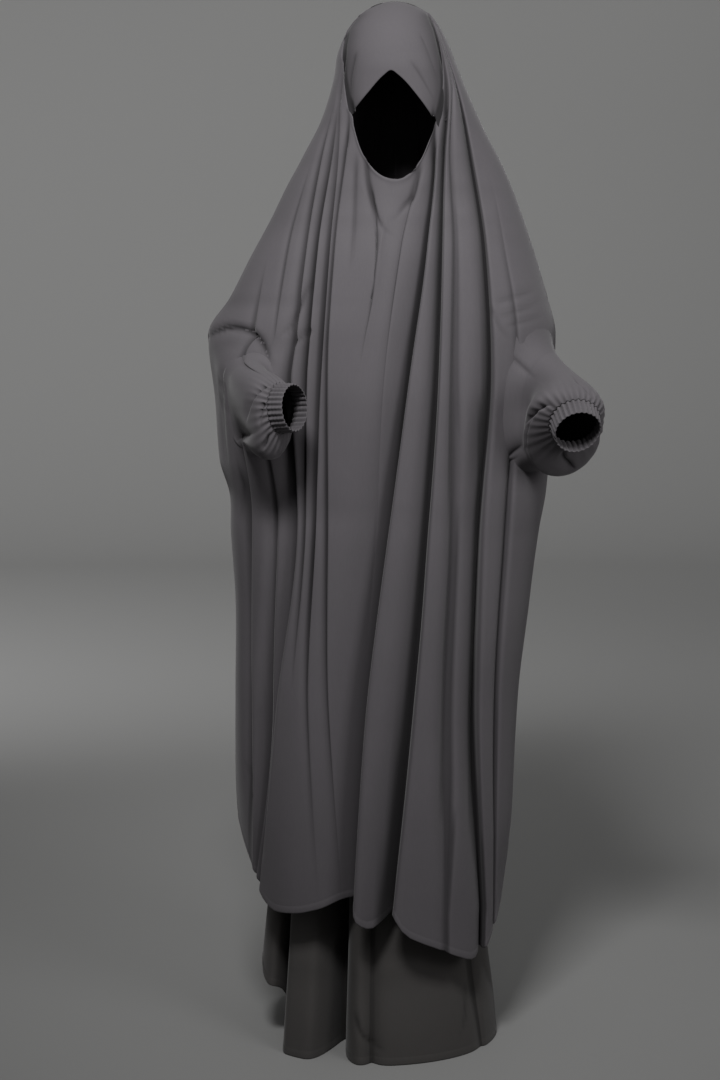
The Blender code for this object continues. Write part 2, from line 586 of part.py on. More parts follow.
def by_quarter(values, turn):
    """Blends four values given for the quarters of a turn round a sleeve."""
    across = np.where(np.cos(turn) > 0, values.outer, values.inner)
    along = np.where(np.sin(turn) > 0, values.top, values.bottom)
    return across * np.cos(turn) ** 2 + along * np.sin(turn) ** 2


def hole_points(shape, turn, grow=0.0):
    """The sleeve's root on the cloth of the over-garment, and the way out of it."""
    bent = np.sign(np.cos(turn)) * np.abs(np.cos(turn)) ** HOLE_SQUARENESS
    lifted = np.sign(np.sin(turn)) * np.abs(np.sin(turn)) ** HOLE_SQUARENESS
    tall = np.where(lifted > 0, shape.rise, shape.drop) + grow
    height = shape.height + tall * lifted
    _, half, front, _ = section_at(CAPE_SECTIONS, height)
    middle = math.radians(shape.angle)
    wide = math.radians(shape.spread) + grow / radius_at(middle, half, front)
    angle = middle - wide * bent
    _, cloth, _ = cloth_at(CAPE_FRONT, angle, height)
    out = np.stack([np.sin(angle) * front, -np.cos(angle) * half, np.zeros_like(half)], axis=1)
    return cloth, out / np.linalg.norm(out, axis=1)[:, None]


def wrist_axes(shape):
    """Unit directions along, across and up at the wrist."""
    ahead = np.array(shape.ahead) / np.linalg.norm(shape.ahead)
    across = np.cross(ahead, (0, 0, 1))
    across /= np.linalg.norm(across)
    return ahead, across, np.cross(across, ahead)


def wrist_ring(shape, turn, along=0.0, size=1.0, gather=1.0):
    """One ring of points at the wrist, pinched by its gathers."""
    ahead, across, up = wrist_axes(shape)
    place = np.array(shape.wrist) + (0, 0, WALL - CROWN_HEIGHT) + along * ahead
    wave = 0.5 - 0.5 * np.cos(GATHERS * turn)
    squeeze = size * (1 - gather * GATHER_DEPTH * wave / shape.half_width)
    tall = np.where(np.sin(turn) > 0, shape.wrist_rise, shape.wrist_drop)
    return (place + (squeeze * shape.half_width * np.cos(turn))[:, None] * across
            + (squeeze * tall * np.sin(turn))[:, None] * up)


def sleeve_grid(shape, leave, swell, run, sides, rings):
    """Rings of points from the sleeve's root on the over-garment to its gathered wrist."""
    turn = np.arange(sides) / sides * 2 * math.pi
    root, out = hole_points(shape, turn)
    inwards = root.mean(axis=0) - root
    inwards -= (inwards * out).sum(axis=1)[:, None] * out
    inwards /= np.linalg.norm(inwards, axis=1)[:, None]
    share = by_quarter(leave, turn)[:, None]
    away = np.array(shape.root_ahead) * (1 - share) + inwards * share
    away /= np.linalg.norm(away, axis=1)[:, None]
    ahead, across, up = wrist_axes(shape)
    round_ring = wrist_ring(shape, turn, gather=0.0)
    spread = round_ring - round_ring.mean(axis=0)
    spread /= np.linalg.norm(spread, axis=1)[:, None]
    near = root + away * by_quarter(run, turn)[:, None]
    far = round_ring - ahead * WRIST_RUN + spread * by_quarter(swell, turn)[:, None]
    points = []
    for t in np.linspace(0, 1, rings) ** 0.9:
        gathered = wrist_ring(shape, turn, gather=t**6)
        points.append(root * (1 - t) ** 3 + near * 3 * t * (1 - t) ** 2
                      + far * 3 * t * t * (1 - t) + gathered * t**3
                      + (gathered - round_ring) * (1 - t**3))
    return np.array(points)


def tube_mesh(name, points, sides, rings, capped=False):
    """Joins rings of points into a tube, open or capped."""
    mesh = bpy.data.meshes.new(name)
    faces = []
    for r in range(rings - 1):
        for c in range(sides):
            a = r * sides + c
            b = r * sides + (c + 1) % sides
            faces.append((a, b, b + sides, a + sides))
    corners = list(points)
    if capped:
        for first in (0, (rings - 1) * sides):
            corners.append(np.mean(points[first:first + sides], axis=0))
            for c in range(sides):
                faces.append((first + c, first + (c + 1) % sides, len(corners) - 1))
    mesh.from_pydata([tuple(p) for p in corners], [], faces)
    work = bmesh.new()
    work.from_mesh(mesh)
    bmesh.ops.recalc_face_normals(work, faces=work.faces)
    work.to_mesh(mesh)
    work.free()
    return mesh


def sleeve(name, shape, leave, swell, run, material):
    """Wide sleeve from the over-garment to the gathered wrist."""
    points = sleeve_grid(shape, leave, swell, run, SLEEVE_SIDES, SLEEVE_RINGS).reshape(-1, 3)
    return finish_sheet(name, tube_mesh(name, points, SLEEVE_SIDES, SLEEVE_RINGS), material)


def cuff(name, shape, material):
    """Elastic band in line with the sleeve's end, shirred into the same gathers."""
    turn = np.arange(SLEEVE_SIDES) / SLEEVE_SIDES * 2 * math.pi
    points = np.concatenate([wrist_ring(shape, turn, row.along, row.size, row.gather)
                             for row in CUFF_SHAPE])
    return finish_sheet(name, tube_mesh(name, points, SLEEVE_SIDES, len(CUFF_SHAPE)), material)


def armhole_cutter(name, shape):
    """A short plug through the over-garment where the sleeve joins it."""
    turn = np.arange(SLEEVE_SIDES) / SLEEVE_SIDES * 2 * math.pi
    root, out = hole_points(shape, turn, grow=CUT_CLEARANCE)
    points = np.concatenate([root - out * HOLE_DEPTH, root + out * HOLE_DEPTH])
    mesh = tube_mesh(name, points, SLEEVE_SIDES, 2, capped=True)
    return as_cutter(bpy.data.objects.new(name, mesh))


def skirt_panel(name, side, material, hem_points):
    """Front or back of the skirt, from under the waistband to the floor."""
    position = stops(side, SKIRT_STOPS)
    top = SKIRT_HEIGHTS.waist - SEAM_GAP
    low = panel_angles(side, position, np.zeros(len(position)))
    hem = hem_height(hem_points, np.sin(low))
    heights = np.array([top - down * (top - hem) for down in np.linspace(0, 1, SKIRT_ROWS + 1)])
    angles = np.array([panel_angles(side, position, row) for row in heights])
    outer, inner = wall_of(side, angles, heights, WALL)
    return grid_object(name, seamed(outer, side), seamed(inner, side), material)


def waistband(material):
    """Elastic band at the top of the skirt."""
    top = SKIRT_SECTIONS[0]
    turn = np.arange(WAISTBAND_SIDES) / WAISTBAND_SIDES * 2 * math.pi
    points = []
    for height in (top.height, top.height + WAISTBAND_HEIGHT):
        for angle in turn:
            deep = top.front if math.sin(angle) < 0 else top.back
            points.append((top.right * math.cos(angle), deep * math.sin(angle),
                           height - CROWN_HEIGHT + WALL))
    mesh = tube_mesh("skirt_waistband", points, WAISTBAND_SIDES, 2)
    return finish_sheet("skirt_waistband", mesh, material)


def clear_scene():
    """Removes whatever the scene holds."""
    for thing in list(bpy.data.objects):
        bpy.data.objects.remove(thing, do_unlink=True)


def build():
    """Makes every piece of the garment."""
    clear_scene()
    over = cloth_material("over_garment_crepe", CLOTH_COLOUR)
    under = cloth_material("skirt_crepe", UNDER_COLOUR)
    front = cape_panel("khimar_front", CAPE_FRONT, over, FRONT_STOPS, CAPE_ROWS)
    cape_panel("khimar_back", CAPE_BACK, over, BACK_STOPS, BACK_ROWS)
    forehead_panel(over)
    left, right, above = window_outline(-HALF_GAP)
    chin = rounded(FACE_BOTTOM)[1:-1]
    cut(front, prism("hood window", left + chin + right + above))
    cut(front, armhole_cutter("right armhole", RIGHT_SLEEVE))
    cut(front, armhole_cutter("left armhole", LEFT_SLEEVE))
    sleeve("sleeve_right", RIGHT_SLEEVE, RIGHT_LEAVE, RIGHT_SWELL, RIGHT_RUN, over)
    sleeve("sleeve_left", LEFT_SLEEVE, LEFT_LEAVE, LEFT_SWELL, LEFT_RUN, over)
    cuff("cuff_right", RIGHT_SLEEVE, over)
    cuff("cuff_left", LEFT_SLEEVE, over)
    skirt_panel("skirt_front", SKIRT_FRONT, under, SKIRT_HEM_FRONT)
    skirt_panel("skirt_back", SKIRT_BACK, under, SKIRT_HEM_BACK)
    waistband(under)


if __name__ == "__main__":
    build()
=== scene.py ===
"""Looks of a two-piece jilbab: hooded over-garment, gathered sleeves and a skirt, in matte crepe."""

import math
from collections import namedtuple

import bmesh
import bpy
import numpy as np
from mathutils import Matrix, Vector


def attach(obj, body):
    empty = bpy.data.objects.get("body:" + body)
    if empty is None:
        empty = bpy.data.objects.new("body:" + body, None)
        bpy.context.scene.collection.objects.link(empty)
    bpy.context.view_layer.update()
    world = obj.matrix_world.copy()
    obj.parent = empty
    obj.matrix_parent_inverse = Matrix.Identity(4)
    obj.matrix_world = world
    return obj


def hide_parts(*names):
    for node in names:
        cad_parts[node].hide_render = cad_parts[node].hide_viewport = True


bl_info = {
    "name": "Two-piece jilbab",
    "version": (1, 0, 0),
    "blender": (4, 5, 0),
    "location": "3D View > Sidebar > Jilbab",
    "description": "Dresses the packed solids of a two-piece jilbab in draped crepe",
    "category": "Object",
}

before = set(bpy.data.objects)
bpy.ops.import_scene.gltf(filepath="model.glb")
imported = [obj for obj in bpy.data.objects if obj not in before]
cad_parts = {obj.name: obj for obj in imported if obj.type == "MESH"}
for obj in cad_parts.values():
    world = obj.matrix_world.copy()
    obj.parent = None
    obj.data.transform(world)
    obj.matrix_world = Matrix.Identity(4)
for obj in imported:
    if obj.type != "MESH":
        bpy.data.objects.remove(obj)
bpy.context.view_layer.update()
CROWN_HEIGHT = 1.750
WALL = 0.002
FLOOR = WALL - CROWN_HEIGHT
CLOTH = 0.0011
SEAM_GAP = 0.0003
MILLIMETRE = 0.001
FINE = 1.0
GATHERS = 28
GATHER_DEPTH = 0.0032
LIP_SHARE = 0.40
PUSH_TURN = 0.75
SKIRT_PUSH_TURN = 0.40
FOLD_BEGINS = 0.07
MOST_ACROSS = 0.985
LEAST_TURN = 0.012
LEAST_SOFT = 0.014
LEAST_CRISP = 0.0065
STEEPEST = 0.55
SEAM_EASE = 0.25

Section = namedtuple("Section", "height left right front back")
CAPE_SECTIONS = [
    Section(1.750, 0.004, 0.004, 0.000, 0.000),
    Section(1.729, -0.052, 0.062, 0.056, 0.060),
    Section(1.705, -0.072, 0.080, 0.078, 0.085),
    Section(1.665, -0.089, 0.099, 0.097, 0.110),
    Section(1.630, -0.094, 0.113, 0.104, 0.122),
    Section(1.590, -0.104, 0.131, 0.104, 0.130),
    Section(1.550, -0.119, 0.150, 0.102, 0.135),
    Section(1.500, -0.147, 0.177, 0.100, 0.140),
    Section(1.450, -0.175, 0.200, 0.105, 0.148),
    Section(1.400, -0.199, 0.219, 0.118, 0.155),
    Section(1.330, -0.237, 0.243, 0.140, 0.163),
    Section(1.270, -0.268, 0.261, 0.150, 0.168),
    Section(1.207, -0.305, 0.275, 0.158, 0.172),
    Section(1.100, -0.294, 0.270, 0.165, 0.180),
    Section(1.000, -0.288, 0.266, 0.165, 0.188),
    Section(0.940, -0.272, 0.261, 0.165, 0.192),
    Section(0.880, -0.271, 0.251, 0.167, 0.196),
    Section(0.770, -0.263, 0.238, 0.170, 0.202),
    Section(0.600, -0.264, 0.218, 0.176, 0.212),
    Section(0.410, -0.265, 0.209, 0.182, 0.222),
    Section(0.300, -0.252, 0.200, 0.184, 0.226),
    Section(0.150, -0.232, 0.194, 0.184, 0.226),
]
SKIRT_SECTIONS = [
    Section(1.060, -0.140, 0.140, 0.095, 0.120),
    Section(0.960, -0.164, 0.158, 0.102, 0.126),
    Section(0.800, -0.178, 0.162, 0.096, 0.130),
    Section(0.500, -0.192, 0.162, 0.088, 0.140),
    Section(0.270, -0.208, 0.162, 0.088, 0.156),
    Section(0.150, -0.220, 0.170, 0.122, 0.184),
    Section(0.050, -0.232, 0.182, 0.158, 0.250),
    Section(0.000, -0.236, 0.186, 0.168, 0.266),
]

Levels = namedtuple("Levels", "crown ear chin chest elbow hip knee hem")
FOLD_HEIGHTS = Levels(1.70, 1.60, 1.50, 1.35, 1.15, 0.90, 0.60, 0.25)
FRONT_PLACES = {
    "left_wing": Levels(-0.96, -0.95, -0.94, -0.89, -0.76, -0.87, -0.90, -0.965),
    "under_arm": Levels(-0.95, -0.92, -0.88, -0.76, -0.63, -0.72, -0.81, -0.945),
    "left_lobe": Levels(-0.94, -0.90, -0.81, -0.64, -0.52, -0.60, -0.74, -0.92),
    "left_tuck": Levels(-0.935, -0.88, -0.73, -0.57, -0.45, -0.52, -0.59, -0.66),
    "left_hood": Levels(-0.93, -0.86, -0.66, -0.49, -0.38, -0.46, -0.50, -0.52),
    "left_hood_inner": Levels(-0.80, -0.66, -0.57, -0.44, -0.33, -0.38, -0.39, -0.40),
    "left_cowl": Levels(-0.40, -0.38, -0.34, -0.13, -0.14, -0.22, -0.29, -0.38),
    "right_cowl": Levels(0.20, 0.20, 0.16, 0.03, -0.01, -0.12, -0.22, -0.33),
    "centre_right": Levels(0.50, 0.45, 0.32, 0.20, 0.12, -0.03, -0.15, -0.27),
    "right_hood": Levels(0.84, 0.68, 0.42, 0.31, 0.29, 0.23, 0.20, 0.04),
    "right_hood_outer": Levels(0.87, 0.76, 0.50, 0.42, 0.40, 0.43, 0.49, 0.52),
    "right_lobe": Levels(0.91, 0.84, 0.69, 0.62, 0.60, 0.57, 0.66, 0.82),
    "right_wing": Levels(0.95, 0.92, 0.84, 0.76, 0.75, 0.76, 0.83, 0.91),
}
Depths = namedtuple("Depths", "crown ear chin chest elbow hip knee hem soft crisp lean")
FRONT_DEPTHS = {
    "left_wing": Depths(0, 0, 0, 0, 9, 18, 22, 4, 1.5, 0.70, 0.4),
    "under_arm": Depths(0, 0, 0, 4, 0, 14, 14, 3, 1.6, 0.90, 0.45),
    "left_lobe": Depths(0, 0, 8, 14, 22, 40, 44, 8, 1.3, 0.40, 0.5),
    "left_tuck": Depths(0, 0, 8, 12, 14, 7, 0, 0, 1.3, 0.45, 0.5),
    "left_hood": Depths(3, 8, 16, 20, 24, 14, 4, 0, 1.4, 0.40, 0.6),
    "left_hood_inner": Depths(0, 5, 7, 6, 7, 9, 4, 0, 1.5, 0.60, 0.45),
    "left_cowl": Depths(0, 0, 3, 5, 0, 0, 0, 0, 1.6, 1.60, 0.42),
    "right_cowl": Depths(0, 0, 3, 4, 2, 2, 0, 0, 1.6, 1.60, 0.42),
    "centre_right": Depths(0, 5, 13, 24, 36, 54, 72, 82, 1.70, 0.30, 0.45),
    "right_hood": Depths(2, 8, 17, 25, 32, 44, 60, 74, 0.9, 0.30, 0.42),
    "right_hood_outer": Depths(0, 4, 8, 11, 16, 28, 32, 10, 1.2, 1.10, 0.1),
    "right_lobe": Depths(2, 8, 16, 22, 32, 44, 46, 30, 1.3, 0.34, 0.6),
    "right_wing": Depths(0, 0, 0, 2, 6, 16, 14, 6, 1.5, 0.90, 0.3),
}
BACK_PLACES = {
    "back_a": Levels(0.90, 0.86, 0.82, 0.80, 0.80, 0.80, 0.81, 0.82),
    "back_b": Levels(0.72, 0.66, 0.60, 0.60, 0.62, 0.60, 0.59, 0.60),
    "back_c": Levels(0.50, 0.44, 0.40, 0.42, 0.44, 0.41, 0.38, 0.37),
    "back_d": Levels(0.26, 0.22, 0.20, 0.21, 0.20, 0.18, 0.15, 0.12),
    "back_e": Levels(0.00, -0.02, -0.04, -0.03, -0.02, -0.03, -0.06, -0.09),
    "back_f": Levels(-0.26, -0.27, -0.26, -0.25, -0.24, -0.25, -0.28, -0.31),
    "back_g": Levels(-0.52, -0.50, -0.46, -0.46, -0.46, -0.47, -0.50, -0.52),
    "back_h": Levels(-0.74, -0.70, -0.66, -0.66, -0.67, -0.67, -0.68, -0.70),
    "back_i": Levels(-0.90, -0.87, -0.84, -0.83, -0.83, -0.84, -0.85, -0.86),
}
BACK_DEPTHS = {
    "back_a": Depths(0, 0, 4, 8, 14, 20, 22, 20, 1.2, 0.6, 0.4),
    "back_b": Depths(0, 3, 9, 12, 18, 26, 34, 40, 0.5, 1.2, -0.5),
    "back_c": Depths(0, 0, 4, 6, 9, 16, 24, 26, 1.2, 1.0, 0.1),
    "back_d": Depths(0, 2, 8, 14, 20, 30, 38, 40, 0.5, 1.2, -0.5),
    "back_e": Depths(0, 0, 5, 7, 9, 14, 22, 30, 1.1, 1.0, 0.1),
    "back_f": Depths(0, 3, 9, 15, 21, 32, 39, 42, 1.2, 0.5, 0.5),
    "back_g": Depths(0, 0, 4, 7, 11, 17, 22, 24, 1.1, 1.0, -0.1),
    "back_h": Depths(0, 3, 8, 12, 18, 26, 34, 38, 1.2, 0.5, 0.5),
    "back_i": Depths(0, 0, 3, 7, 12, 18, 22, 22, 0.7, 1.1, -0.3),
}
SkirtLevels = namedtuple("SkirtLevels", "waist hip knee shin floor")
SKIRT_HEIGHTS = SkirtLevels(1.06, 0.80, 0.50, 0.20, 0.00)
SKIRT_FRONT_PLACES = {
    "skirt_left": SkirtLevels(-0.86, -0.86, -0.86, -0.84, -0.82),
    "skirt_valley": SkirtLevels(-0.30, -0.31, -0.34, -0.37, -0.37),
    "skirt_centre": SkirtLevels(0.22, 0.16, 0.06, -0.02, -0.03),
    "skirt_right": SkirtLevels(0.76, 0.78, 0.80, 0.82, 0.86),
}
SKIRT_BACK_PLACES = {
    "skirt_back_a": SkirtLevels(0.66, 0.66, 0.66, 0.66, 0.66),
    "skirt_back_b": SkirtLevels(0.24, 0.24, 0.23, 0.22, 0.22),
    "skirt_back_c": SkirtLevels(-0.20, -0.21, -0.22, -0.24, -0.25),
    "skirt_back_d": SkirtLevels(-0.62, -0.62, -0.63, -0.64, -0.65),
}
SkirtDepths = namedtuple("SkirtDepths", "waist hip knee shin floor soft crisp lean")
SKIRT_FRONT_DEPTHS = {
    "skirt_left": SkirtDepths(2, 10, 34, 56, 72, 0.50, 0.42, 0.0),
    "skirt_valley": SkirtDepths(2, 14, 64, 130, 160, 0.28, 0.36, 0.10),
    "skirt_centre": SkirtDepths(2, 6, 12, 18, 18, 1.80, 1.80, 0.0),
    "skirt_right": SkirtDepths(2, 6, 12, 14, 10, 1.50, 1.50, 0.0),
}
SKIRT_BACK_DEPTHS = {
    "skirt_back_a": SkirtDepths(2, 8, 20, 28, 34, 1.1, 1.1, 0.0),
    "skirt_back_b": SkirtDepths(2, 10, 26, 38, 46, 1.1, 1.1, 0.0),
    "skirt_back_c": SkirtDepths(2, 10, 24, 34, 42, 1.1, 1.1, 0.0),
    "skirt_back_d": SkirtDepths(2, 8, 22, 30, 36, 1.1, 1.1, 0.0),
}

HemPoint = namedtuple("HemPoint", "across height")
CAPE_HEM_FRONT = [HemPoint(*point) for point in (
    (-1.00, 0.375), (-0.985, 0.345), (-0.94, 0.297), (-0.88, 0.266), (-0.76, 0.250),
    (-0.63, 0.253), (-0.54, 0.260), (-0.36, 0.278), (-0.24, 0.276), (-0.20, 0.262),
    (-0.16, 0.246), (-0.09, 0.235), (-0.02, 0.246), (0.04, 0.260), (0.10, 0.260), (0.15, 0.248),
    (0.20, 0.230), (0.31, 0.215), (0.454, 0.200), (0.62, 0.180), (0.734, 0.170), (0.826, 0.178),
    (0.896, 0.205), (0.956, 0.245), (1.00, 0.330),
)]
CAPE_HEM_BACK = [HemPoint(*point) for point in (
    (1.00, 0.330), (0.956, 0.255), (0.88, 0.218), (0.70, 0.205), (0.30, 0.190), (0.00, 0.195),
    (-0.40, 0.215), (-0.80, 0.252), (-0.90, 0.276), (-0.96, 0.315), (-1.00, 0.375),
)]
SKIRT_HEM_FRONT = [HemPoint(*point) for point in (
    (-1.00, 0.128), (-0.97, 0.110), (-0.91, 0.100), (-0.85, 0.096), (-0.82, 0.050),
    (-0.79, 0.004), (-0.74, 0.000), (1.00, 0.000),
)]
SKIRT_HEM_BACK = [HemPoint(*point) for point in (
    (-1.00, 0.128), (-0.94, 0.110), (-0.86, 0.100), (-0.76, 0.030), (-0.66, 0.000), (1.00, 0.000),
)]

OutlinePoint = namedtuple("OutlinePoint", "x height")
PATCH_LEFT = [OutlinePoint(*point) for point in (
    (-0.064, 1.737), (-0.073, 1.702), (-0.081, 1.666), (-0.082, 1.630), (-0.078, 1.598),
    (-0.066, 1.566),
)]
PATCH_RIGHT = [OutlinePoint(*point) for point in (
    (0.069, 1.552), (0.079, 1.580), (0.084, 1.614), (0.081, 1.655), (0.074, 1.692),
    (0.058, 1.735),
)]
FACE_TOP = [OutlinePoint(*point) for point in (
    (-0.066, 1.566), (-0.040, 1.596), (-0.014, 1.623), (-0.003, 1.630), (0.010, 1.622),
    (0.042, 1.588), (0.069, 1.552),
)]
FACE_BOTTOM = [OutlinePoint(*point) for point in (
    (-0.066, 1.566), (-0.056, 1.515), (-0.036, 1.476), (-0.010, 1.456), (0.010, 1.452),
    (0.028, 1.462), (0.050, 1.497), (0.069, 1.552),
)]

SleeveShape = namedtuple("SleeveShape", "angle spread height rise drop root_ahead wrist ahead "
                         "half_width wrist_rise wrist_drop")
RIGHT_SLEEVE = SleeveShape(-44.5, 10, 1.090, 0.084, 0.068, (0.10, -0.99, 0.02),
                           (-0.176, -0.222, 1.100), (0.76, -0.64, 0.06), 0.034, 0.040, 0.043)
LEFT_SLEEVE = SleeveShape(63, 19, 1.088, 0.112, 0.100, (0.42, -0.90, 0.02),
                          (0.284, -0.228, 1.080), (0.12, -0.82, -0.56), 0.041, 0.043, 0.046)
Quarters = namedtuple("Quarters", "outer top inner bottom")
RIGHT_LEAVE = Quarters(0.10, 0.25, 0.10, 0.10)
RIGHT_SWELL = Quarters(0.022, 0.022, 0.020, 0.072)
RIGHT_RUN = Quarters(0.055, 0.060, 0.045, 0.085)
LEFT_LEAVE = Quarters(0.55, 0.45, 0.30, 0.20)
LEFT_SWELL = Quarters(0.084, 0.022, 0.040, 0.150)
LEFT_RUN = Quarters(0.095, 0.090, 0.090, 0.100)
WRIST_RUN = 0.026
HOLE_SQUARENESS = 0.85

CuffRing = namedtuple("CuffRing", "along size gather")
CUFF_SHAPE = [
    CuffRing(0.0003, 0.980, 1.0), CuffRing(0.0090, 0.940, 0.8),
    CuffRing(0.0200, 0.930, 0.7), CuffRing(0.0290, 0.900, 0.5),
]
CUFF_BANDS = 4
CUFF_BAND_RISE = 0.012
Swell = namedtuple("Swell", "angle spread height rise drop out")
ARM_SWELLS = [
    Swell(-50, 30, 1.140, 0.080, 0.230, 0.026),
    Swell(52, 30, 1.230, 0.140, 0.150, 0.010),
]
Side = namedtuple("Side", "sections places depths heights behind turn swells")
CAPE_FRONT = Side(CAPE_SECTIONS, FRONT_PLACES, FRONT_DEPTHS, FOLD_HEIGHTS, False, PUSH_TURN,
                  ARM_SWELLS)
CAPE_BACK = Side(CAPE_SECTIONS, BACK_PLACES, BACK_DEPTHS, FOLD_HEIGHTS, True, PUSH_TURN, [])
SKIRT_FRONT = Side(SKIRT_SECTIONS, SKIRT_FRONT_PLACES, SKIRT_FRONT_DEPTHS, SKIRT_HEIGHTS,
                   False, SKIRT_PUSH_TURN, [])
SKIRT_BACK = Side(SKIRT_SECTIONS, SKIRT_BACK_PLACES, SKIRT_BACK_DEPTHS, SKIRT_HEIGHTS,
                  True, SKIRT_PUSH_TURN, [])


def ease(share):
    """Slow at both ends, from 0 to 1."""
    share = np.clip(share, 0, 1)
    return share * share * (3 - 2 * share)


def unit(vectors):
    """Each vector at a length of 1."""
    return vectors / np.maximum(np.linalg.norm(vectors, axis=-1), 1e-12)[..., None]


def smooth_values(places, values, wanted):
    """A curve through the given values that never overshoots them."""
    order = np.argsort(places)
    x = np.asarray(places, float)[order]
    y = np.asarray(values, float)[order]
    wanted = np.clip(wanted, x[0], x[-1])
    run = np.diff(x)
    slope = np.diff(y) / run
    tangent = np.zeros(len(x))
    tangent[0] = slope[0]
    tangent[-1] = slope[-1]
    for i in range(1, len(x) - 1):
        if slope[i - 1] * slope[i] > 0:
            near = 2 * run[i] + run[i - 1]
            far = run[i] + 2 * run[i - 1]
            tangent[i] = (near + far) / (near / slope[i - 1] + far / slope[i])
    k = np.clip(np.searchsorted(x, wanted) - 1, 0, len(x) - 2)
    t = (wanted - x[k]) / run[k]
    return ((2 * t**3 - 3 * t**2 + 1) * y[k] + (t**3 - 2 * t**2 + t) * run[k] * tangent[k]
            + (3 * t**2 - 2 * t**3) * y[k + 1] + (t**3 - t**2) * run[k] * tangent[k + 1])


def section_at(sections, height):
    """Centre, half width, front depth and back depth of the draped cloth at each height."""
    heights = [s.height for s in sections]
    left = np.array([s.left for s in sections])
    right = np.array([s.right for s in sections])
    centre = smooth_values(heights, (left + right) / 2, height)
    half = np.sqrt(np.maximum(smooth_values(heights, ((right - left) / 2) ** 2, height), 0))
    front = np.sqrt(np.maximum(smooth_values(heights, [s.front**2 for s in sections], height), 0))
    back = np.sqrt(np.maximum(smooth_values(heights, [s.back**2 for s in sections], height), 0))
    return centre, half, front, back


def fold_angles(side, height):
    """Angle round the section of each fold line, from one side seam to the other."""
    levels = np.array(side.heights)
    level_centre, level_half, _, _ = section_at(side.sections, levels)
    within = np.clip(height, levels.min(), levels.max())
    centre, half, _, _ = section_at(side.sections, within)
    start = np.full_like(height, math.pi / 2 if side.behind else -math.pi / 2)
    lines = [start]
    for across in side.places.values():
        x = smooth_values(levels, level_centre + level_half * np.array(across), within)
        angle = np.arcsin(np.clip((x - centre) / half, -MOST_ACROSS, MOST_ACROSS))
        angle = math.pi - angle if side.behind else angle
        lines.append(np.maximum(angle, lines[-1] + LEAST_TURN))
    return np.array(lines + [start + math.pi])


def fold_depths(side, height):
    """Depth of each fold line at each height."""
    levels = len(side.heights)
    fade = np.clip((CROWN_HEIGHT - height) / FOLD_BEGINS, 0, 1)
    return np.array([smooth_values(side.heights, row[:levels], height) * MILLIMETRE * fade
                     for row in side.depths.values()])


def radius_at(angle, half, deep):
    """Length round the section for a small turn."""
    return np.sqrt((half * np.cos(angle)) ** 2 + (deep * np.sin(angle)) ** 2)


def soft_side(distance, width):
    """The slow roll into a fold: 1 at its line, 0 past its width."""
    near = np.clip(1 - distance / width, 0, 1)
    return near**2 * (0.45 + 0.55 * near)


def crisp_side(distance, width):
    """The round lip out of a fold: 1 at its line, 0 past its width."""
    near = np.clip(1 - distance / width, 0, 1)
    return 0.8 * (1 - np.sqrt(1 - near**2)) + 0.2 * near**2


def lip_shares(side, height):
    """Share of each strip between two fold lines that the first one's lip takes up."""
    lines = fold_angles(side, height)
    depth = fold_depths(side, height)
    _, half, front, back = section_at(side.sections, height)
    deep = back if side.behind else front
    shares = [np.full_like(height, 0.3)]
    for row, line, after, drop in zip(side.depths.values(), lines[1:-1], lines[2:], depth):
        width = np.maximum(row.crisp * drop, LEAST_CRISP)
        strip = (after - line) * radius_at((line + after) / 2, half, deep)
        shares.append(np.clip(width / np.maximum(strip, 1e-6), 0.10, 0.60))
    return np.array(shares)


def panel_angles(side, position, height):
    """Angle at each position, which counts fold lines and crowds towards their lips."""
    lines = fold_angles(side, height)
    lips = lip_shares(side, height)
    number = np.clip(np.floor(position).astype(int), 0, len(lines) - 2)
    each = np.arange(len(height))
    step = position - number
    lip = lips[number, each]
    share = np.where(step < LIP_SHARE, lip * step / LIP_SHARE,
                     lip + (1 - lip) * (step - LIP_SHARE) / (1 - LIP_SHARE))
    return lines[number, each] * (1 - share) + lines[number + 1, each] * share


def strip_of(lines, angle):
    """The strip between fold lines that each angle is in, and its share of the way across it."""
    number = np.clip((lines < angle).sum(axis=0) - 1, 0, len(lines) - 2)
    each = np.arange(len(angle))
    return number, (angle - lines[number, each]) / (lines[number + 1, each] - lines[number, each])


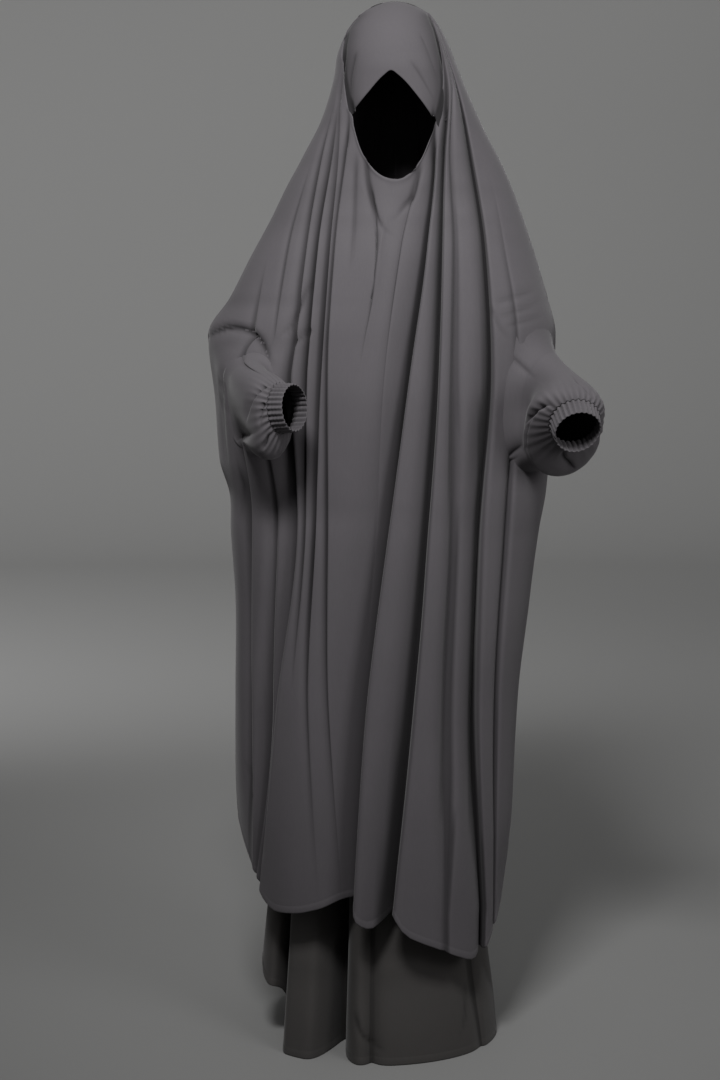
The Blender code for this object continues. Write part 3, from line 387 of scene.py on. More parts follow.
def cloth_at(side, angle, height):
    """The section's point, the point on the draped cloth, and which way its wall is pushed."""
    centre, half, front, back = section_at(side.sections, height)
    deep = back if side.behind else front
    base = np.stack([centre + half * np.sin(angle), -deep * np.cos(angle),
                     height - CROWN_HEIGHT + WALL], axis=1)
    middle = math.pi if side.behind else 0.0
    turned = (angle - middle) / (math.pi / 2)
    facing = middle + side.turn * (angle - middle) + (1 - side.turn) * math.pi / 2 * turned**5
    outwards = np.stack([np.sin(facing), -np.cos(facing), np.zeros_like(facing)], axis=1)
    sideways = np.stack([np.cos(facing), np.sin(facing), np.zeros_like(facing)], axis=1)
    pulled = np.zeros_like(height)
    lines = fold_angles(side, height)
    depth = fold_depths(side, height)
    for row, line, drop in zip(side.depths.values(), lines[1:-1], depth):
        past = (angle - line) * radius_at((angle + line) / 2, half, deep)
        soft = np.maximum(row.soft * drop, LEAST_SOFT)
        crisp = np.maximum(row.crisp * drop, LEAST_CRISP)
        pulled += np.where(past < 0, soft_side(-past, soft), crisp_side(past, crisp)) * drop
    for row in side.swells:
        aside = np.clip(1 - np.abs(np.degrees(angle) - row.angle) / row.spread, 0, 1)
        reach = np.where(height > row.height, row.rise, row.drop)
        level = np.clip(1 - np.abs(height - row.height) / reach, 0, 1)
        pulled -= aside**2 * (3 - 2 * aside) * level**2 * (3 - 2 * level) * row.out
    pulled *= ease(np.cos(angle - middle) / SEAM_EASE)
    leans = np.array([0.0] + [row.lean for row in side.depths.values()] + [0.0])
    number, share = strip_of(lines, angle)
    share = ease(share)
    lean = leans[number] * (1 - share) + leans[number + 1] * share
    push = sideways * lean[:, None] - outwards
    return base, base + push * pulled[:, None], push


def grid_normals(grid, seams=False):
    """Outward direction at each point of a grid, level across a seam at its two side columns."""
    down = np.gradient(grid, axis=0)
    along = np.gradient(grid, axis=1)
    normal = np.cross(down, along)
    size = np.linalg.norm(normal, axis=2)
    normal[size < 1e-12] = (0, 0, 1)
    if seams:
        for column in (0, -1):
            normal[:, column, 1] = 0
        normal[0] = (0, 0, 1)
    return unit(normal)


def wall_of(side, angles, heights, thickness, seams=True):
    """Outer and inner points of a draped wall, from grids of angles and heights."""
    shape = angles.shape + (3,)
    base, cloth, push = (a.reshape(shape) for a in cloth_at(side, angles.ravel(), heights.ravel()))
    plain = grid_normals(base, seams)
    level = np.linalg.norm(plain[:, :, :2], axis=2)
    inwards = push * level[:, :, None]
    inwards[:, :, 2] = -plain[:, :, 2]
    inwards = unit(inwards)
    square = -(grid_normals(cloth, seams) * inwards).sum(axis=2)
    return cloth, cloth + inwards * (thickness / np.maximum(square, STEEPEST))[:, :, None]


def hem_height(points, across):
    """Height of a hem at each place across the section."""
    return smooth_values([p.across for p in points], [p.height for p in points], across)


def by_quarter(values, turn):
    """Blends four values given for the quarters of a turn round a sleeve."""
    across = np.where(np.cos(turn) > 0, values.outer, values.inner)
    along = np.where(np.sin(turn) > 0, values.top, values.bottom)
    return across * np.cos(turn) ** 2 + along * np.sin(turn) ** 2


def hole_points(shape, turn, grow=0.0):
    """The sleeve's root on the cloth of the over-garment, and the way out of it."""
    bent = np.sign(np.cos(turn)) * np.abs(np.cos(turn)) ** HOLE_SQUARENESS
    lifted = np.sign(np.sin(turn)) * np.abs(np.sin(turn)) ** HOLE_SQUARENESS
    tall = np.where(lifted > 0, shape.rise, shape.drop) + grow
    height = shape.height + tall * lifted
    _, half, front, _ = section_at(CAPE_SECTIONS, height)
    middle = math.radians(shape.angle)
    wide = math.radians(shape.spread) + grow / radius_at(middle, half, front)
    angle = middle - wide * bent
    _, cloth, _ = cloth_at(CAPE_FRONT, angle, height)
    out = np.stack([np.sin(angle) * front, -np.cos(angle) * half, np.zeros_like(half)], axis=1)
    return cloth, unit(out)


def wrist_axes(shape):
    """Unit directions along, across and up at the wrist."""
    ahead = np.array(shape.ahead) / np.linalg.norm(shape.ahead)
    across = np.cross(ahead, (0, 0, 1))
    across /= np.linalg.norm(across)
    return ahead, across, np.cross(across, ahead)


def wrist_ring(shape, turn, along=0.0, size=1.0, gather=1.0):
    """One ring of points at the wrist, pinched by its gathers."""
    ahead, across, up = wrist_axes(shape)
    place = np.array(shape.wrist) + (0, 0, WALL - CROWN_HEIGHT) + along * ahead
    wave = 0.5 - 0.5 * np.cos(GATHERS * turn)
    squeeze = size * (1 - gather * GATHER_DEPTH * wave / shape.half_width)
    tall = np.where(np.sin(turn) > 0, shape.wrist_rise, shape.wrist_drop)
    return (place + (squeeze * shape.half_width * np.cos(turn))[:, None] * across
            + (squeeze * tall * np.sin(turn))[:, None] * up)


def sleeve_grid(shape, leave, swell, run, sides, rings):
    """Rings of points from the sleeve's root on the over-garment to its gathered wrist."""
    turn = np.arange(sides) / sides * 2 * math.pi
    root, out = hole_points(shape, turn)
    inwards = root.mean(axis=0) - root
    inwards -= (inwards * out).sum(axis=1)[:, None] * out
    share = by_quarter(leave, turn)[:, None]
    away = unit(np.array(shape.root_ahead) * (1 - share) + unit(inwards) * share)
    ahead = wrist_axes(shape)[0]
    round_ring = wrist_ring(shape, turn, gather=0.0)
    spread = unit(round_ring - round_ring.mean(axis=0))
    near = root + away * by_quarter(run, turn)[:, None]
    far = round_ring - ahead * WRIST_RUN + spread * by_quarter(swell, turn)[:, None]
    points = []
    for t in np.linspace(0, 1, rings) ** 0.9:
        gathered = wrist_ring(shape, turn, gather=t**6)
        points.append(root * (1 - t) ** 3 + near * 3 * t * (1 - t) ** 2
                      + far * 3 * t * t * (1 - t) + gathered * t**3
                      + (gathered - round_ring) * (1 - t**3))
    return np.array(points)


HOOD_TOP = 1.746
ROOT_SUNK = 0.002
FLARE_TURN = 0.10
RIGHT_FLARE = Quarters(0.022, 0.008, 0.010, 0.015)
LEFT_FLARE = Quarters(0.010, 0.045, 0.004, 0.006)
# Painted shade: the cloth's hollows and the lines along its crevices darken its colour.
HOLLOW_SHADE_DEPTH = 0.0030
HOLLOW_SHADE = 0.50
CREVICE_SHADE = 0.85
# Painted shade lines along the crevices: their width, the fold depth for full darkness, and their
# widening in deep folds.
SHADE_LINE_WIDTH = 0.0040
SHADE_LINE_DEPTH = 0.012
SHADE_LINE_SPREAD = 0.030
DARKEST_CREASE = 9
CREASE_STEPS = 4
RIPPLE = 0.0006
HOLE_INSET = 0.004
ARM_RADIUS = 0.24
SAME_POINT = 4e-6
SHORTEST_EDGE = 1e-6
PATCH_WIDTH = 0.16
PATCH_UNDER = 0.16
PATCH_SUNK = 0.0009
PATCH_TUCKED = 0.0015
LEFT_LAP = 0.05
RIGHT_LAP = 0.012
FOOT_DROP = 0.020
LAP_TURN = 0.10
# Painted shadow where the hood's edges overlap the forehead panel: a crisp line and a wider, softer
# shade.
SEAM_SHADOW_WIDTH = 0.007
SEAM_SHADE_WIDTH = 0.022
SEAM_SHADE = 0.55
FAR = 3.0
RIM_WIDTH = 0.0042
RIM_RISE = 0.0017
RIM_SHARES = [0, 0.0009, 0.0018, 0.0027, 0.0038]
CORNER_SMOOTH = 0.16
CORNER_PASSES = 40
BELOW_FACE_PASSES = 70
BESIDE_FACE_PASSES = 60
SKIRT_PASSES = 4
HEM_TURNED = 0.012
HEM_RISE = 0.0004
HEM_ROWS = (0.020, 0.0150, 0.0132, 0.0120, 0.0108, 0.0060, 0.0020, 0.0)
Crease = namedtuple("Crease", "depth soft crisp lean points")
FRONT_CREASES = [
    Crease(11.0, 0.024, 0.010, 0.30, [
        (-0.314, 1.197), (-0.288, 1.216), (-0.266, 1.222), (-0.245, 1.220), (-0.228, 1.214),
        (-0.206, 1.196), (-0.192, 1.176), (-0.176, 1.150)]),
    Crease(10.0, 0.018, 0.009, 0.25, [
        (-0.180, 1.180), (-0.209, 1.178), (-0.226, 1.170), (-0.243, 1.152), (-0.256, 1.131),
        (-0.265, 1.103), (-0.270, 1.072), (-0.272, 1.020), (-0.266, 0.960)]),
    Crease(10.0, 0.016, 0.009, 0.25, [
        (-0.196, 1.172), (-0.214, 1.160), (-0.227, 1.138), (-0.235, 1.105), (-0.240, 1.070),
        (-0.243, 1.030), (-0.246, 0.985), (-0.248, 0.935), (-0.246, 0.860)]),
    Crease(6.0, 0.010, 0.024, 0.0, [
        (-0.050, 1.510), (-0.044, 1.486), (-0.038, 1.448), (-0.030, 1.414), (-0.020, 1.389),
        (-0.004, 1.372), (0.010, 1.366)]),
    Crease(6.0, 0.024, 0.010, 0.0, [
        (0.050, 1.490), (0.042, 1.467), (0.033, 1.432), (0.017, 1.414), (0.005, 1.399),
        (-0.008, 1.390)]),
    Crease(-5.0, 0.022, 0.018, 0.0, [
        (-0.008, 1.412), (-0.015, 1.372), (-0.023, 1.322), (-0.031, 1.285), (-0.038, 1.262),
        (-0.046, 1.250), (-0.056, 1.249)]),
    Crease(4.0, 0.020, 0.020, 0.0, [
        (-0.058, 1.510), (-0.060, 1.452), (-0.061, 1.402), (-0.064, 1.352), (-0.069, 1.300)]),
    Crease(4.0, 0.014, 0.010, 0.0, [
        (-0.132, 1.300), (-0.146, 1.262), (-0.166, 1.226), (-0.190, 1.200)]),
    Crease(4.0, 0.014, 0.009, 0.2, [(-0.130, 1.222), (-0.152, 1.203), (-0.174, 1.186)]),
    Crease(2.4, 0.012, 0.014, 0.0, [(0.160, 1.262), (0.200, 1.273), (0.236, 1.286)]),
    Crease(2.0, 0.012, 0.014, 0.0, [(0.166, 1.238), (0.204, 1.250), (0.244, 1.268)]),
    Crease(1.8, 0.010, 0.012, 0.0, [(0.176, 1.223), (0.214, 1.234), (0.250, 1.245)]),
    Crease(1.6, 0.008, 0.008, 0.0, [(0.158, 1.259), (0.171, 1.225), (0.194, 1.196)]),
]
SKIRT_CREASES = [
    Crease(5.0, 0.010, 0.014, 0.0, [
        (-0.064, 0.090), (-0.052, 0.055), (-0.030, 0.034), (0.000, 0.020)]),
    Crease(4.0, 0.014, 0.010, 0.0, [(0.128, 0.120), (0.126, 0.060), (0.112, 0.020)]),
]
FOREHEAD_CREASES = [
    Crease(3.2, 0.016, 0.008, 0.0, [
        (-0.057, 1.668), (-0.064, 1.640), (-0.068, 1.610), (-0.066, 1.575)]),
    Crease(1.5, 0.012, 0.018, 0.0, [
        (0.040, 1.700), (0.052, 1.676), (0.062, 1.650), (0.072, 1.622), (0.080, 1.592)]),
    Crease(1.8, 0.014, 0.018, 0.0, [
        (0.026, 1.650), (0.042, 1.628), (0.058, 1.602), (0.074, 1.572)]),
]
BACK_CREASES = [
    Crease(4.0, 0.020, 0.014, 0.0, [(-0.150, 1.330), (-0.110, 1.285), (-0.060, 1.262)]),
    Crease(4.0, 0.014, 0.020, 0.0, [(0.160, 1.340), (0.120, 1.292), (0.070, 1.268)]),
    Crease(3.0, 0.020, 0.020, 0.0, [(-0.040, 1.480), (-0.020, 1.420), (0.010, 1.360)]),
]
RIGHT_CREASES = [
    Crease(9.0, 0.024, 0.009, 0.6, [(0.94, 60), (0.84, 36), (0.70, 8), (0.52, -20)]),
    Crease(5.0, 0.016, 0.009, 0.3, [(0.97, -50), (0.86, -60), (0.72, -64)]),
    Crease(6.0, 0.018, 0.010, 0.4, [(0.97, 15), (0.90, -8), (0.84, -30)]),
]
LEFT_CREASES = [
    Crease(12.0, 0.022, 0.009, 0.6, [
        (0.96, 35), (0.88, 18), (0.80, -8), (0.74, -35), (0.70, -60)]),
    Crease(7.0, 0.020, 0.012, 0.4, [(0.90, 8), (0.78, 0), (0.66, -14), (0.56, -34)]),
    Crease(7.0, 0.020, 0.012, 0.4, [(0.95, 130), (0.82, 112), (0.66, 100), (0.50, 95)]),
    Crease(8.0, 0.018, 0.010, 0.5, [(0.95, -80), (0.84, -95), (0.72, -105)]),
    Crease(6.0, 0.018, 0.012, 0.4, [(0.94, -135), (0.82, -145), (0.68, -150)]),
]
LEFT_COLUMNS = 70
CHIN_COLUMNS = 68
RIGHT_COLUMNS = 54
HOOD_ROWS = 48
CAPE_ROWS = 188
BACK_COLUMNS = 180
BACK_ROWS = 212
PATCH_COLUMNS = 120
PATCH_ROWS = 96
ARCH_STEPS = 160
SKIRT_COLUMNS = 150
SKIRT_ROWS = 122
SLEEVE_RINGS = 102
CUFF_RINGS = 28
SIDES_A_GATHER = 10
SLEEVE_SCALE = 0.16
TURN_SCALE = 0.075
SWEEP_REACH = 12.0
SWEEP_BEGINS = 5.8
SWEEP_RADIUS = 2.4
SWEEP_BACK = 8.3
FLOOR_SUNK = 0.0005


def count(number):
    return max(6, int(number * FINE))


def position_at(side, x, height):
    """Position among the fold lines of a point seen at x in the front view."""
    centre, half, _, _ = section_at(side.sections, height)
    angle = np.arcsin(np.clip((x - centre) / half, -1, 1))
    lines = fold_angles(side, height)
    lips = lip_shares(side, height)
    number, share = strip_of(lines, angle)
    lip = lips[number, np.arange(len(height))]
    step = np.where(share < lip, LIP_SHARE * share / lip,
                    LIP_SHARE + (1 - LIP_SHARE) * (share - lip) / (1 - lip))
    return number + step


def run_along(u, v):
    """Length along a line of points up to each of them."""
    return np.concatenate([[0], np.cumsum(np.hypot(np.diff(u), np.diff(v)))])


def rounded(points, steps):
    """The points joined by a smooth curve, evenly spaced along it."""
    u, v = np.array(points, float).T
    run = run_along(u, v)
    wanted = np.linspace(0, run[-1], steps)
    return smooth_values(run, u, wanted), smooth_values(run, v, wanted)


def crease_at(u, v, crease, points):
    """Depth of a crease at each place of a flat map, the way across it and the distance from its
    painted shade line.
    """
    nearest = np.full(u.shape, np.inf)
    signed = np.zeros(u.shape)
    strength = np.zeros(u.shape)
    across = np.zeros(u.shape + (2,))
    line = np.array(points, float)
    run = run_along(line[:, 0], line[:, 1])
    for a, b, begun, ended in zip(line, line[1:], run, run[1:]):
        along = (b - a) / (ended - begun)
        t = np.clip(((u - a[0]) * along[0] + (v - a[1]) * along[1]) / (ended - begun), 0, 1)
        du = u - a[0] - t * (b - a)[0]
        dv = v - a[1] - t * (b - a)[1]
        away = np.hypot(du, dv)
        closer = away < nearest
        nearest = np.where(closer, away, nearest)
        side = np.where(along[0] * dv - along[1] * du >= 0, 1.0, -1.0)
        signed = np.where(closer, side * away, signed)
        share = (begun + t * (ended - begun)) / run[-1]
        strength = np.where(closer, crease_strength(share), strength)
        across[closer] = (-along[1], along[0])
    depth = np.where(signed < 0, soft_side(-signed, crease.soft),
                     crisp_side(signed, crease.crisp))
    # Painted shade line along the crease, darker for deeper creases.
    dark = strength * np.clip(crease.depth / DARKEST_CREASE, 0, 1)
    return depth * strength * crease.depth * MILLIMETRE, across, shade_line_distance(nearest / SHADE_LINE_WIDTH, dark)


def shade_line_distance(away, strength):
    """Distance from a painted shade line in widths of it, greater where the line is weaker."""
    return np.minimum(np.sqrt(away**2 - np.log(np.clip(strength, 1e-4, 1.0))), FAR)


def fold_crevice_shade(side, angles, heights):
    """Distance of each point of a grid from the nearest painted shade line along the crevices of its
    folds.
    """
    angle, height = angles.ravel(), heights.ravel()
    _, half, front, back = section_at(side.sections, height)
    nearest = np.full(angle.shape, FAR)
    lines = fold_angles(side, height)[1:-1]
    for row, line, drop in zip(side.depths.values(), lines, fold_depths(side, height)):
        past = (angle - line) * radius_at((angle + line) / 2, half, back if side.behind else front)
        sharp = np.clip((1.0 - min(row.soft, row.crisp)) / 0.4, 0, 1)
        strength = sharp * np.clip(drop / SHADE_LINE_DEPTH, 0, 1)
        soft = SHADE_LINE_WIDTH * (1 + drop / SHADE_LINE_SPREAD)
        width = np.where((past < 0) == (row.soft >= row.crisp), soft, 0.5 * SHADE_LINE_WIDTH)
        nearest = np.minimum(nearest, shade_line_distance(np.abs(past) / width, strength))
    return nearest.reshape(angles.shape)


def crease_strength(share):
    """A crease grows from nothing, is fullest past its start and fades out slowly."""
    return ease(share / 0.22) * ease((1.02 - share) / 0.45)


def add_creases(grid, normals, u, v, creases, du, dv):
    """Presses slanting creases into a grid of points, each overlapping to one side, and gives the
    distance from the painted shade lines along them.
    """
    marks = np.full(u.shape, FAR)
    for crease in creases:
        steps = CREASE_STEPS * (len(crease.points) - 1) + 1
        line = np.stack(rounded(crease.points, steps), axis=1)
        depth, across, dark = crease_at(u, v, crease, line)
        marks = np.minimum(marks, dark)
        grid = grid - normals * depth[:, :, None]
        if crease.lean:
            way = across[:, :, :1] * du + across[:, :, 1:] * dv
            grid = grid + way * (depth * crease.lean)[:, :, None]
    return grid, marks


def ripple(grid, normals, size):
    """Soft unevenness of hanging cloth, long down the folds and short across them."""
    x, y, z = grid[:, :, 0], grid[:, :, 1], grid[:, :, 2]
    wave = (np.sin(31 * x + 3.1 * z + 1.3 * np.sin(5.2 * z) + 17 * y)
            + 0.7 * np.sin(57 * x - 4.3 * z + 2.1 * np.sin(3.7 * z + 1.0) - 23 * y)
            + 0.5 * np.sin(13 * x + 11.9 * z + 9 * y) + 0.35 * np.sin(7.0 * x - 23.0 * z))
    return grid + normals * (wave * size)[:, :, None]


def in_hole(shape, angle, height):
    """Where the over-garment is open into a sleeve."""
    tall = np.where(height > shape.height, shape.rise, shape.drop) - HOLE_INSET
    wide = math.radians(shape.spread) - HOLE_INSET / ARM_RADIUS
    power = 2 / HOLE_SQUARENESS
    return (np.abs((angle - math.radians(shape.angle)) / wide) ** power
            + np.abs((height - shape.height) / tall) ** power) < 1


def turned_hem(above):
    """Rise of the turned-up hem's double cloth, with the groove of its stitches."""
    double = ease((HEM_TURNED + 0.0012 - above) / 0.0012) * ease(above / 0.0020 + 0.3)
    return HEM_RISE * (double - 1.2 * np.exp(-((above - HEM_TURNED) / 0.0009) ** 2))


def calmed(grid, times, axis):
    """The grid made smoother along one way, as many times as each of its points is given."""
    grid = np.moveaxis(grid, axis, 0).copy()
    times = np.moveaxis(times, axis, 0)[1:-1, :, None]
    for turn in range(int(times.max())):
        mean = 0.25 * grid[:-2] + 0.5 * grid[1:-1] + 0.25 * grid[2:]
        grid[1:-1] = np.where(times > turn, mean, grid[1:-1])
    return np.moveaxis(grid, 0, axis)


def draped(side, angles, heights, creases, edge=None, calm=()):
    """Outer and inner points of the cloth, with its creases, from angles and heights."""
    outer, inner = wall_of(side, angles, heights, CLOTH)
    for times, axis in calm:
        outer, inner = calmed(outer, times, axis), calmed(inner, times, axis)
    thick = inner - outer
    normals = grid_normals(outer)
    # Painted shade: how deep in the cloth's hollows each point lies, and its distance from the shade
    # lines of folds and creases.
    hollow_shade = hollowness(outer)
    lines = fold_crevice_shade(side, angles, heights)
    centre, half, _, _ = section_at(side.sections, heights.ravel())
    seen_x = (centre + half * np.sin(angles.ravel())).reshape(angles.shape)
    grown = ripple(outer, normals, RIPPLE)
    sideways, upright = (way - normals * (way * normals).sum(axis=2)[:, :, None]
                         for way in (np.array((1.0, 0.0, 0.0)), np.array((0.0, 0.0, 1.0))))
    grown, marks = add_creases(grown, normals, seen_x, heights, creases, sideways, upright)
    if edge is not None:
        grown = grown + normals * edge[:, :, None]
    return grown, grown + thick, (hollow_shade, np.minimum(lines, marks))


def softened(grid, times):
    """The grid with its folds made rounder, its side edges left where they are."""
    for _ in range(times):
        grid[:, 1:-1] = 0.25 * grid[:, :-2] + 0.5 * grid[:, 1:-1] + 0.25 * grid[:, 2:]
    return grid


def hollowness(grid):
    """How far each point lies in a crevice of the cloth, from 0 to 1, which darkens it as painted
    shade.
    """
    normals = grid_normals(grid)
    hollow_shade = np.zeros(grid.shape[:2])
    for axis, reach in ((1, 2), (1, 4), (0, 2)):
        ahead = np.roll(grid, -reach, axis=axis)
        behind = np.roll(grid, reach, axis=axis)
        lift = (((ahead + behind) / 2 - grid) * normals).sum(axis=2)
        edge = [slice(None), slice(None)]
        for end in (slice(0, reach), slice(-reach, None)):
            edge[axis] = end
            lift[tuple(edge)] = 0
        hollow_shade = np.maximum(hollow_shade, lift / HOLLOW_SHADE_DEPTH)
    return np.clip(hollow_shade, 0, 1) ** 0.8


def mark_painted_shade(mesh, hollow_shade, lines):
    """Keeps the painted shade of the hollows and of the crevice lines on the mesh for its material.
    """
    for name, marks in (("hollow_shade", hollow_shade), ("crevice", lines)):
        values = mesh.attributes.new(name, "FLOAT", "POINT").data
        values.foreach_set("value", np.ascontiguousarray(marks, dtype=np.float32).ravel())


def closed_mesh(name, outer, inner, marks, kept=None):
    """One closed mesh of cloth from its outer and inner points, without the faces not kept."""
    rows, columns = outer.shape[:2]
    size = rows * columns
    faces = []
    border = {}
    for r in range(rows - 1):
        for c in range(columns - 1):
            if kept is not None and not kept[r, c]:
                continue
            a = r * columns + c
            quad = (a, a + columns, a + columns + 1, a + 1)
            faces.append(quad)
            faces.append(tuple(size + corner for corner in reversed(quad)))
            for ends in zip(quad, quad[1:] + quad[:1]):
                if border.pop(ends[::-1], None) is None:
                    border[ends] = True
    faces.extend((b, a, size + a, size + b) for a, b in border)
    mesh = bpy.data.meshes.new(name)
    mesh.from_pydata([tuple(p) for p in np.concatenate([outer, inner]).reshape(-1, 3)], [], faces)
    # Painted shade on the outer layer only.
    hollow_shade, lines = marks
    mark_painted_shade(mesh, np.concatenate([hollow_shade, 0 * hollow_shade]),
                 np.concatenate([lines, 0 * lines + FAR]))
    work = bmesh.new()
    work.from_mesh(mesh)
    bmesh.ops.delete(work, geom=[v for v in work.verts if not v.link_faces], context="VERTS")
    bmesh.ops.remove_doubles(work, verts=work.verts, dist=SAME_POINT)
    bmesh.ops.dissolve_degenerate(work, dist=SHORTEST_EDGE, edges=work.edges)
    work.to_mesh(mesh)
    work.free()
    mesh.shade_smooth()
    return mesh


def tube_grid_mesh(name, grid):
    """One-layer mesh of a tube from its rings of points."""
    rings, sides = grid.shape[:2]
    faces = []
    for r in range(rings - 1):
        for c in range(sides):
            a = r * sides + c
            b = r * sides + (c + 1) % sides
            faces.append((a, a + sides, b + sides, b))
    mesh = bpy.data.meshes.new(name)
    mesh.from_pydata([tuple(p) for p in grid.reshape(-1, 3)], [], faces)
    # Painted shade in the tube's hollows, weaker than on the draped cloth, and no shade lines.
    mark_painted_shade(mesh, 0.6 * hollowness(grid), np.full(grid.shape[:2], FAR))
    mesh.shade_smooth()
    return mesh


def add_piece(name, mesh, material, cad):
    """Puts a finished mesh in the scene as a piece that rides on the one body."""
    piece = bpy.data.objects.new(name, mesh)
    bpy.context.scene.collection.objects.link(piece)
    mesh.materials.append(material)
    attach(piece, "root")
    if cad:
        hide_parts(cad)
    return piece


def thicken(piece):
    """Gives a one-layer piece its cloth thickness, inwards."""
    wall = piece.modifiers.new("cloth thickness", "SOLIDIFY")
    wall.thickness = CLOTH
    wall.offset = -1.0
    wall.use_even_offset = False


def seam_x(outline, height):
    """Where the seam between the hood and its forehead panel is at each height."""
    return smooth_values([p.height for p in outline], [p.x for p in outline], height)


def hood_edge(outline, height):
    """Position of the hood's side edge at each height."""
    return position_at(CAPE_FRONT, seam_x(outline, height), height)


def front_cloth():
    """The over-garment's front from the hood's sides to the hem, open at the face."""
    last = float(len(FRONT_PLACES) + 1)
    left_corner, right_corner = FACE_BOTTOM[0], FACE_BOTTOM[-1]
    edge_x, edge_z = rounded(FACE_BOTTOM, count(CHIN_COLUMNS))
    chin = np.maximum.accumulate(position_at(CAPE_FRONT, edge_x, edge_z))
    first = count(LEFT_COLUMNS)
    then = first + len(chin) - 2
    start = np.concatenate([np.linspace(0, chin[0], first), chin[1:-1],
                            np.linspace(chin[-1], last, count(RIGHT_COLUMNS))])
    level = np.full(len(start), left_corner.height)
    level[first:then] = edge_z[1:-1]
    level[then:] = right_corner.height
    rim = np.zeros(len(start))
    corner = np.arange(then + 2 - first)
    rim[first - 1:then + 1] = ease(np.minimum(corner, corner[::-1]) / 9)
    even = np.array(start)
    even[first - 1:then + 1] = np.linspace(chin[0], chin[-1], len(chin))
    low = panel_angles(CAPE_FRONT, even, np.full(len(even), FOLD_HEIGHTS.hem))
    hem = hem_height(CAPE_HEM_FRONT, np.sin(low))
    middle = (start[first:then] - chin[0]) / (chin[-1] - chin[0])
    heights = []
    angles = []
    bead = []
    for share in np.linspace(0, 1, count(HOOD_ROWS))[:-1]:
        height = HOOD_TOP + share**1.3 * (level - HOOD_TOP)
        sides = hood_edge(PATCH_LEFT, height[:1])[0], hood_edge(PATCH_RIGHT, height[-1:])[0]
        position = np.concatenate([start[:first] / chin[0] * sides[0],
                                   sides[0] + middle * (sides[1] - sides[0]),
                                   last - ((last - start[then:]) * (last - sides[1])
                                           / (last - chin[-1]))])
        heights.append(height)
        angles.append(panel_angles(CAPE_FRONT, position, height))
        bead.append(np.zeros(len(start)))
    upper = len(heights)
    low_edge = hem + HEM_ROWS[0]
    for share in np.concatenate([RIM_SHARES, np.linspace(0, 1, count(CAPE_ROWS))[1:-1]]):
        settle = ease(share / 0.22)
        height = level + (low_edge - level) * (0.62 * share + 0.38 * share**1.7)
        heights.append(height)
        angles.append(panel_angles(CAPE_FRONT, start * (1 - settle) + even * settle, height))
        away = (level - height) / RIM_WIDTH
        bead.append(rim * RIM_RISE * np.sqrt(np.clip(1 - (away - 0.45) ** 2 / 0.3, 0, 1)))
    for above in HEM_ROWS:
        heights.append(hem + above)
        angles.append(panel_angles(CAPE_FRONT, even, hem + above))
        bead.append(np.full(len(start), turned_hem(above)))
    angles = np.array(angles)
    heights = np.array(heights)
    row = np.arange(len(heights))[:, None]
    column = np.arange(len(start))[None, :]
    below = np.clip(1 - (row - upper) / 16, 0, 1) * (row >= upper)
    beside = np.clip((column - first + 8) / 8, 0, 1) * np.clip((then + 7 - column) / 8, 0, 1)
    sides = np.maximum(np.clip(1 - np.abs(column - first + 1) / 6, 0, 1),
                       np.clip(1 - np.abs(column - then) / 6, 0, 1))
    above = np.clip((upper + 12 - row) / 12, 0, 1) * (row > 0)
    corner = np.clip(1.3 - column / 14, 0, 1) * ease(1 - (heights - hem) / CORNER_SMOOTH)
    outer, inner, marks = draped(CAPE_FRONT, angles, heights, FRONT_CREASES, np.array(bead),
                                 ((BELOW_FACE_PASSES * below**1.5 * beside, 1),
                                  (BESIDE_FACE_PASSES * above * sides, 0),
                                  (CORNER_PASSES * corner, 1)))
    angle = (angles[:-1, :-1] + angles[1:, 1:]) / 2
    height = (heights[:-1, :-1] + heights[1:, 1:]) / 2
    kept = ~(in_hole(RIGHT_SLEEVE, angle, height) | in_hole(LEFT_SLEEVE, angle, height))
    kept[:upper, first - 1:then] = False
    return outer, inner, marks, kept


def back_cloth():
    """The over-garment's back, from the crown to the hem."""
    position = np.linspace(0, len(BACK_PLACES) + 1.0, count(BACK_COLUMNS))
    low = panel_angles(CAPE_BACK, position, np.full(len(position), FOLD_HEIGHTS.hem))
    hem = hem_height(CAPE_HEM_BACK, np.sin(low))
    low_edge = hem + HEM_ROWS[0]
    heights = np.array([CROWN_HEIGHT - (0.3 * s * s + 0.7 * s**1.45) * (CROWN_HEIGHT - low_edge)
                        for s in np.linspace(0, 1, count(BACK_ROWS))[:-1]]
                       + [hem + above for above in HEM_ROWS])
    angles = np.array([panel_angles(CAPE_BACK, position, row) for row in heights])
    return draped(CAPE_BACK, angles, heights, BACK_CREASES, turned_hem(heights - hem))


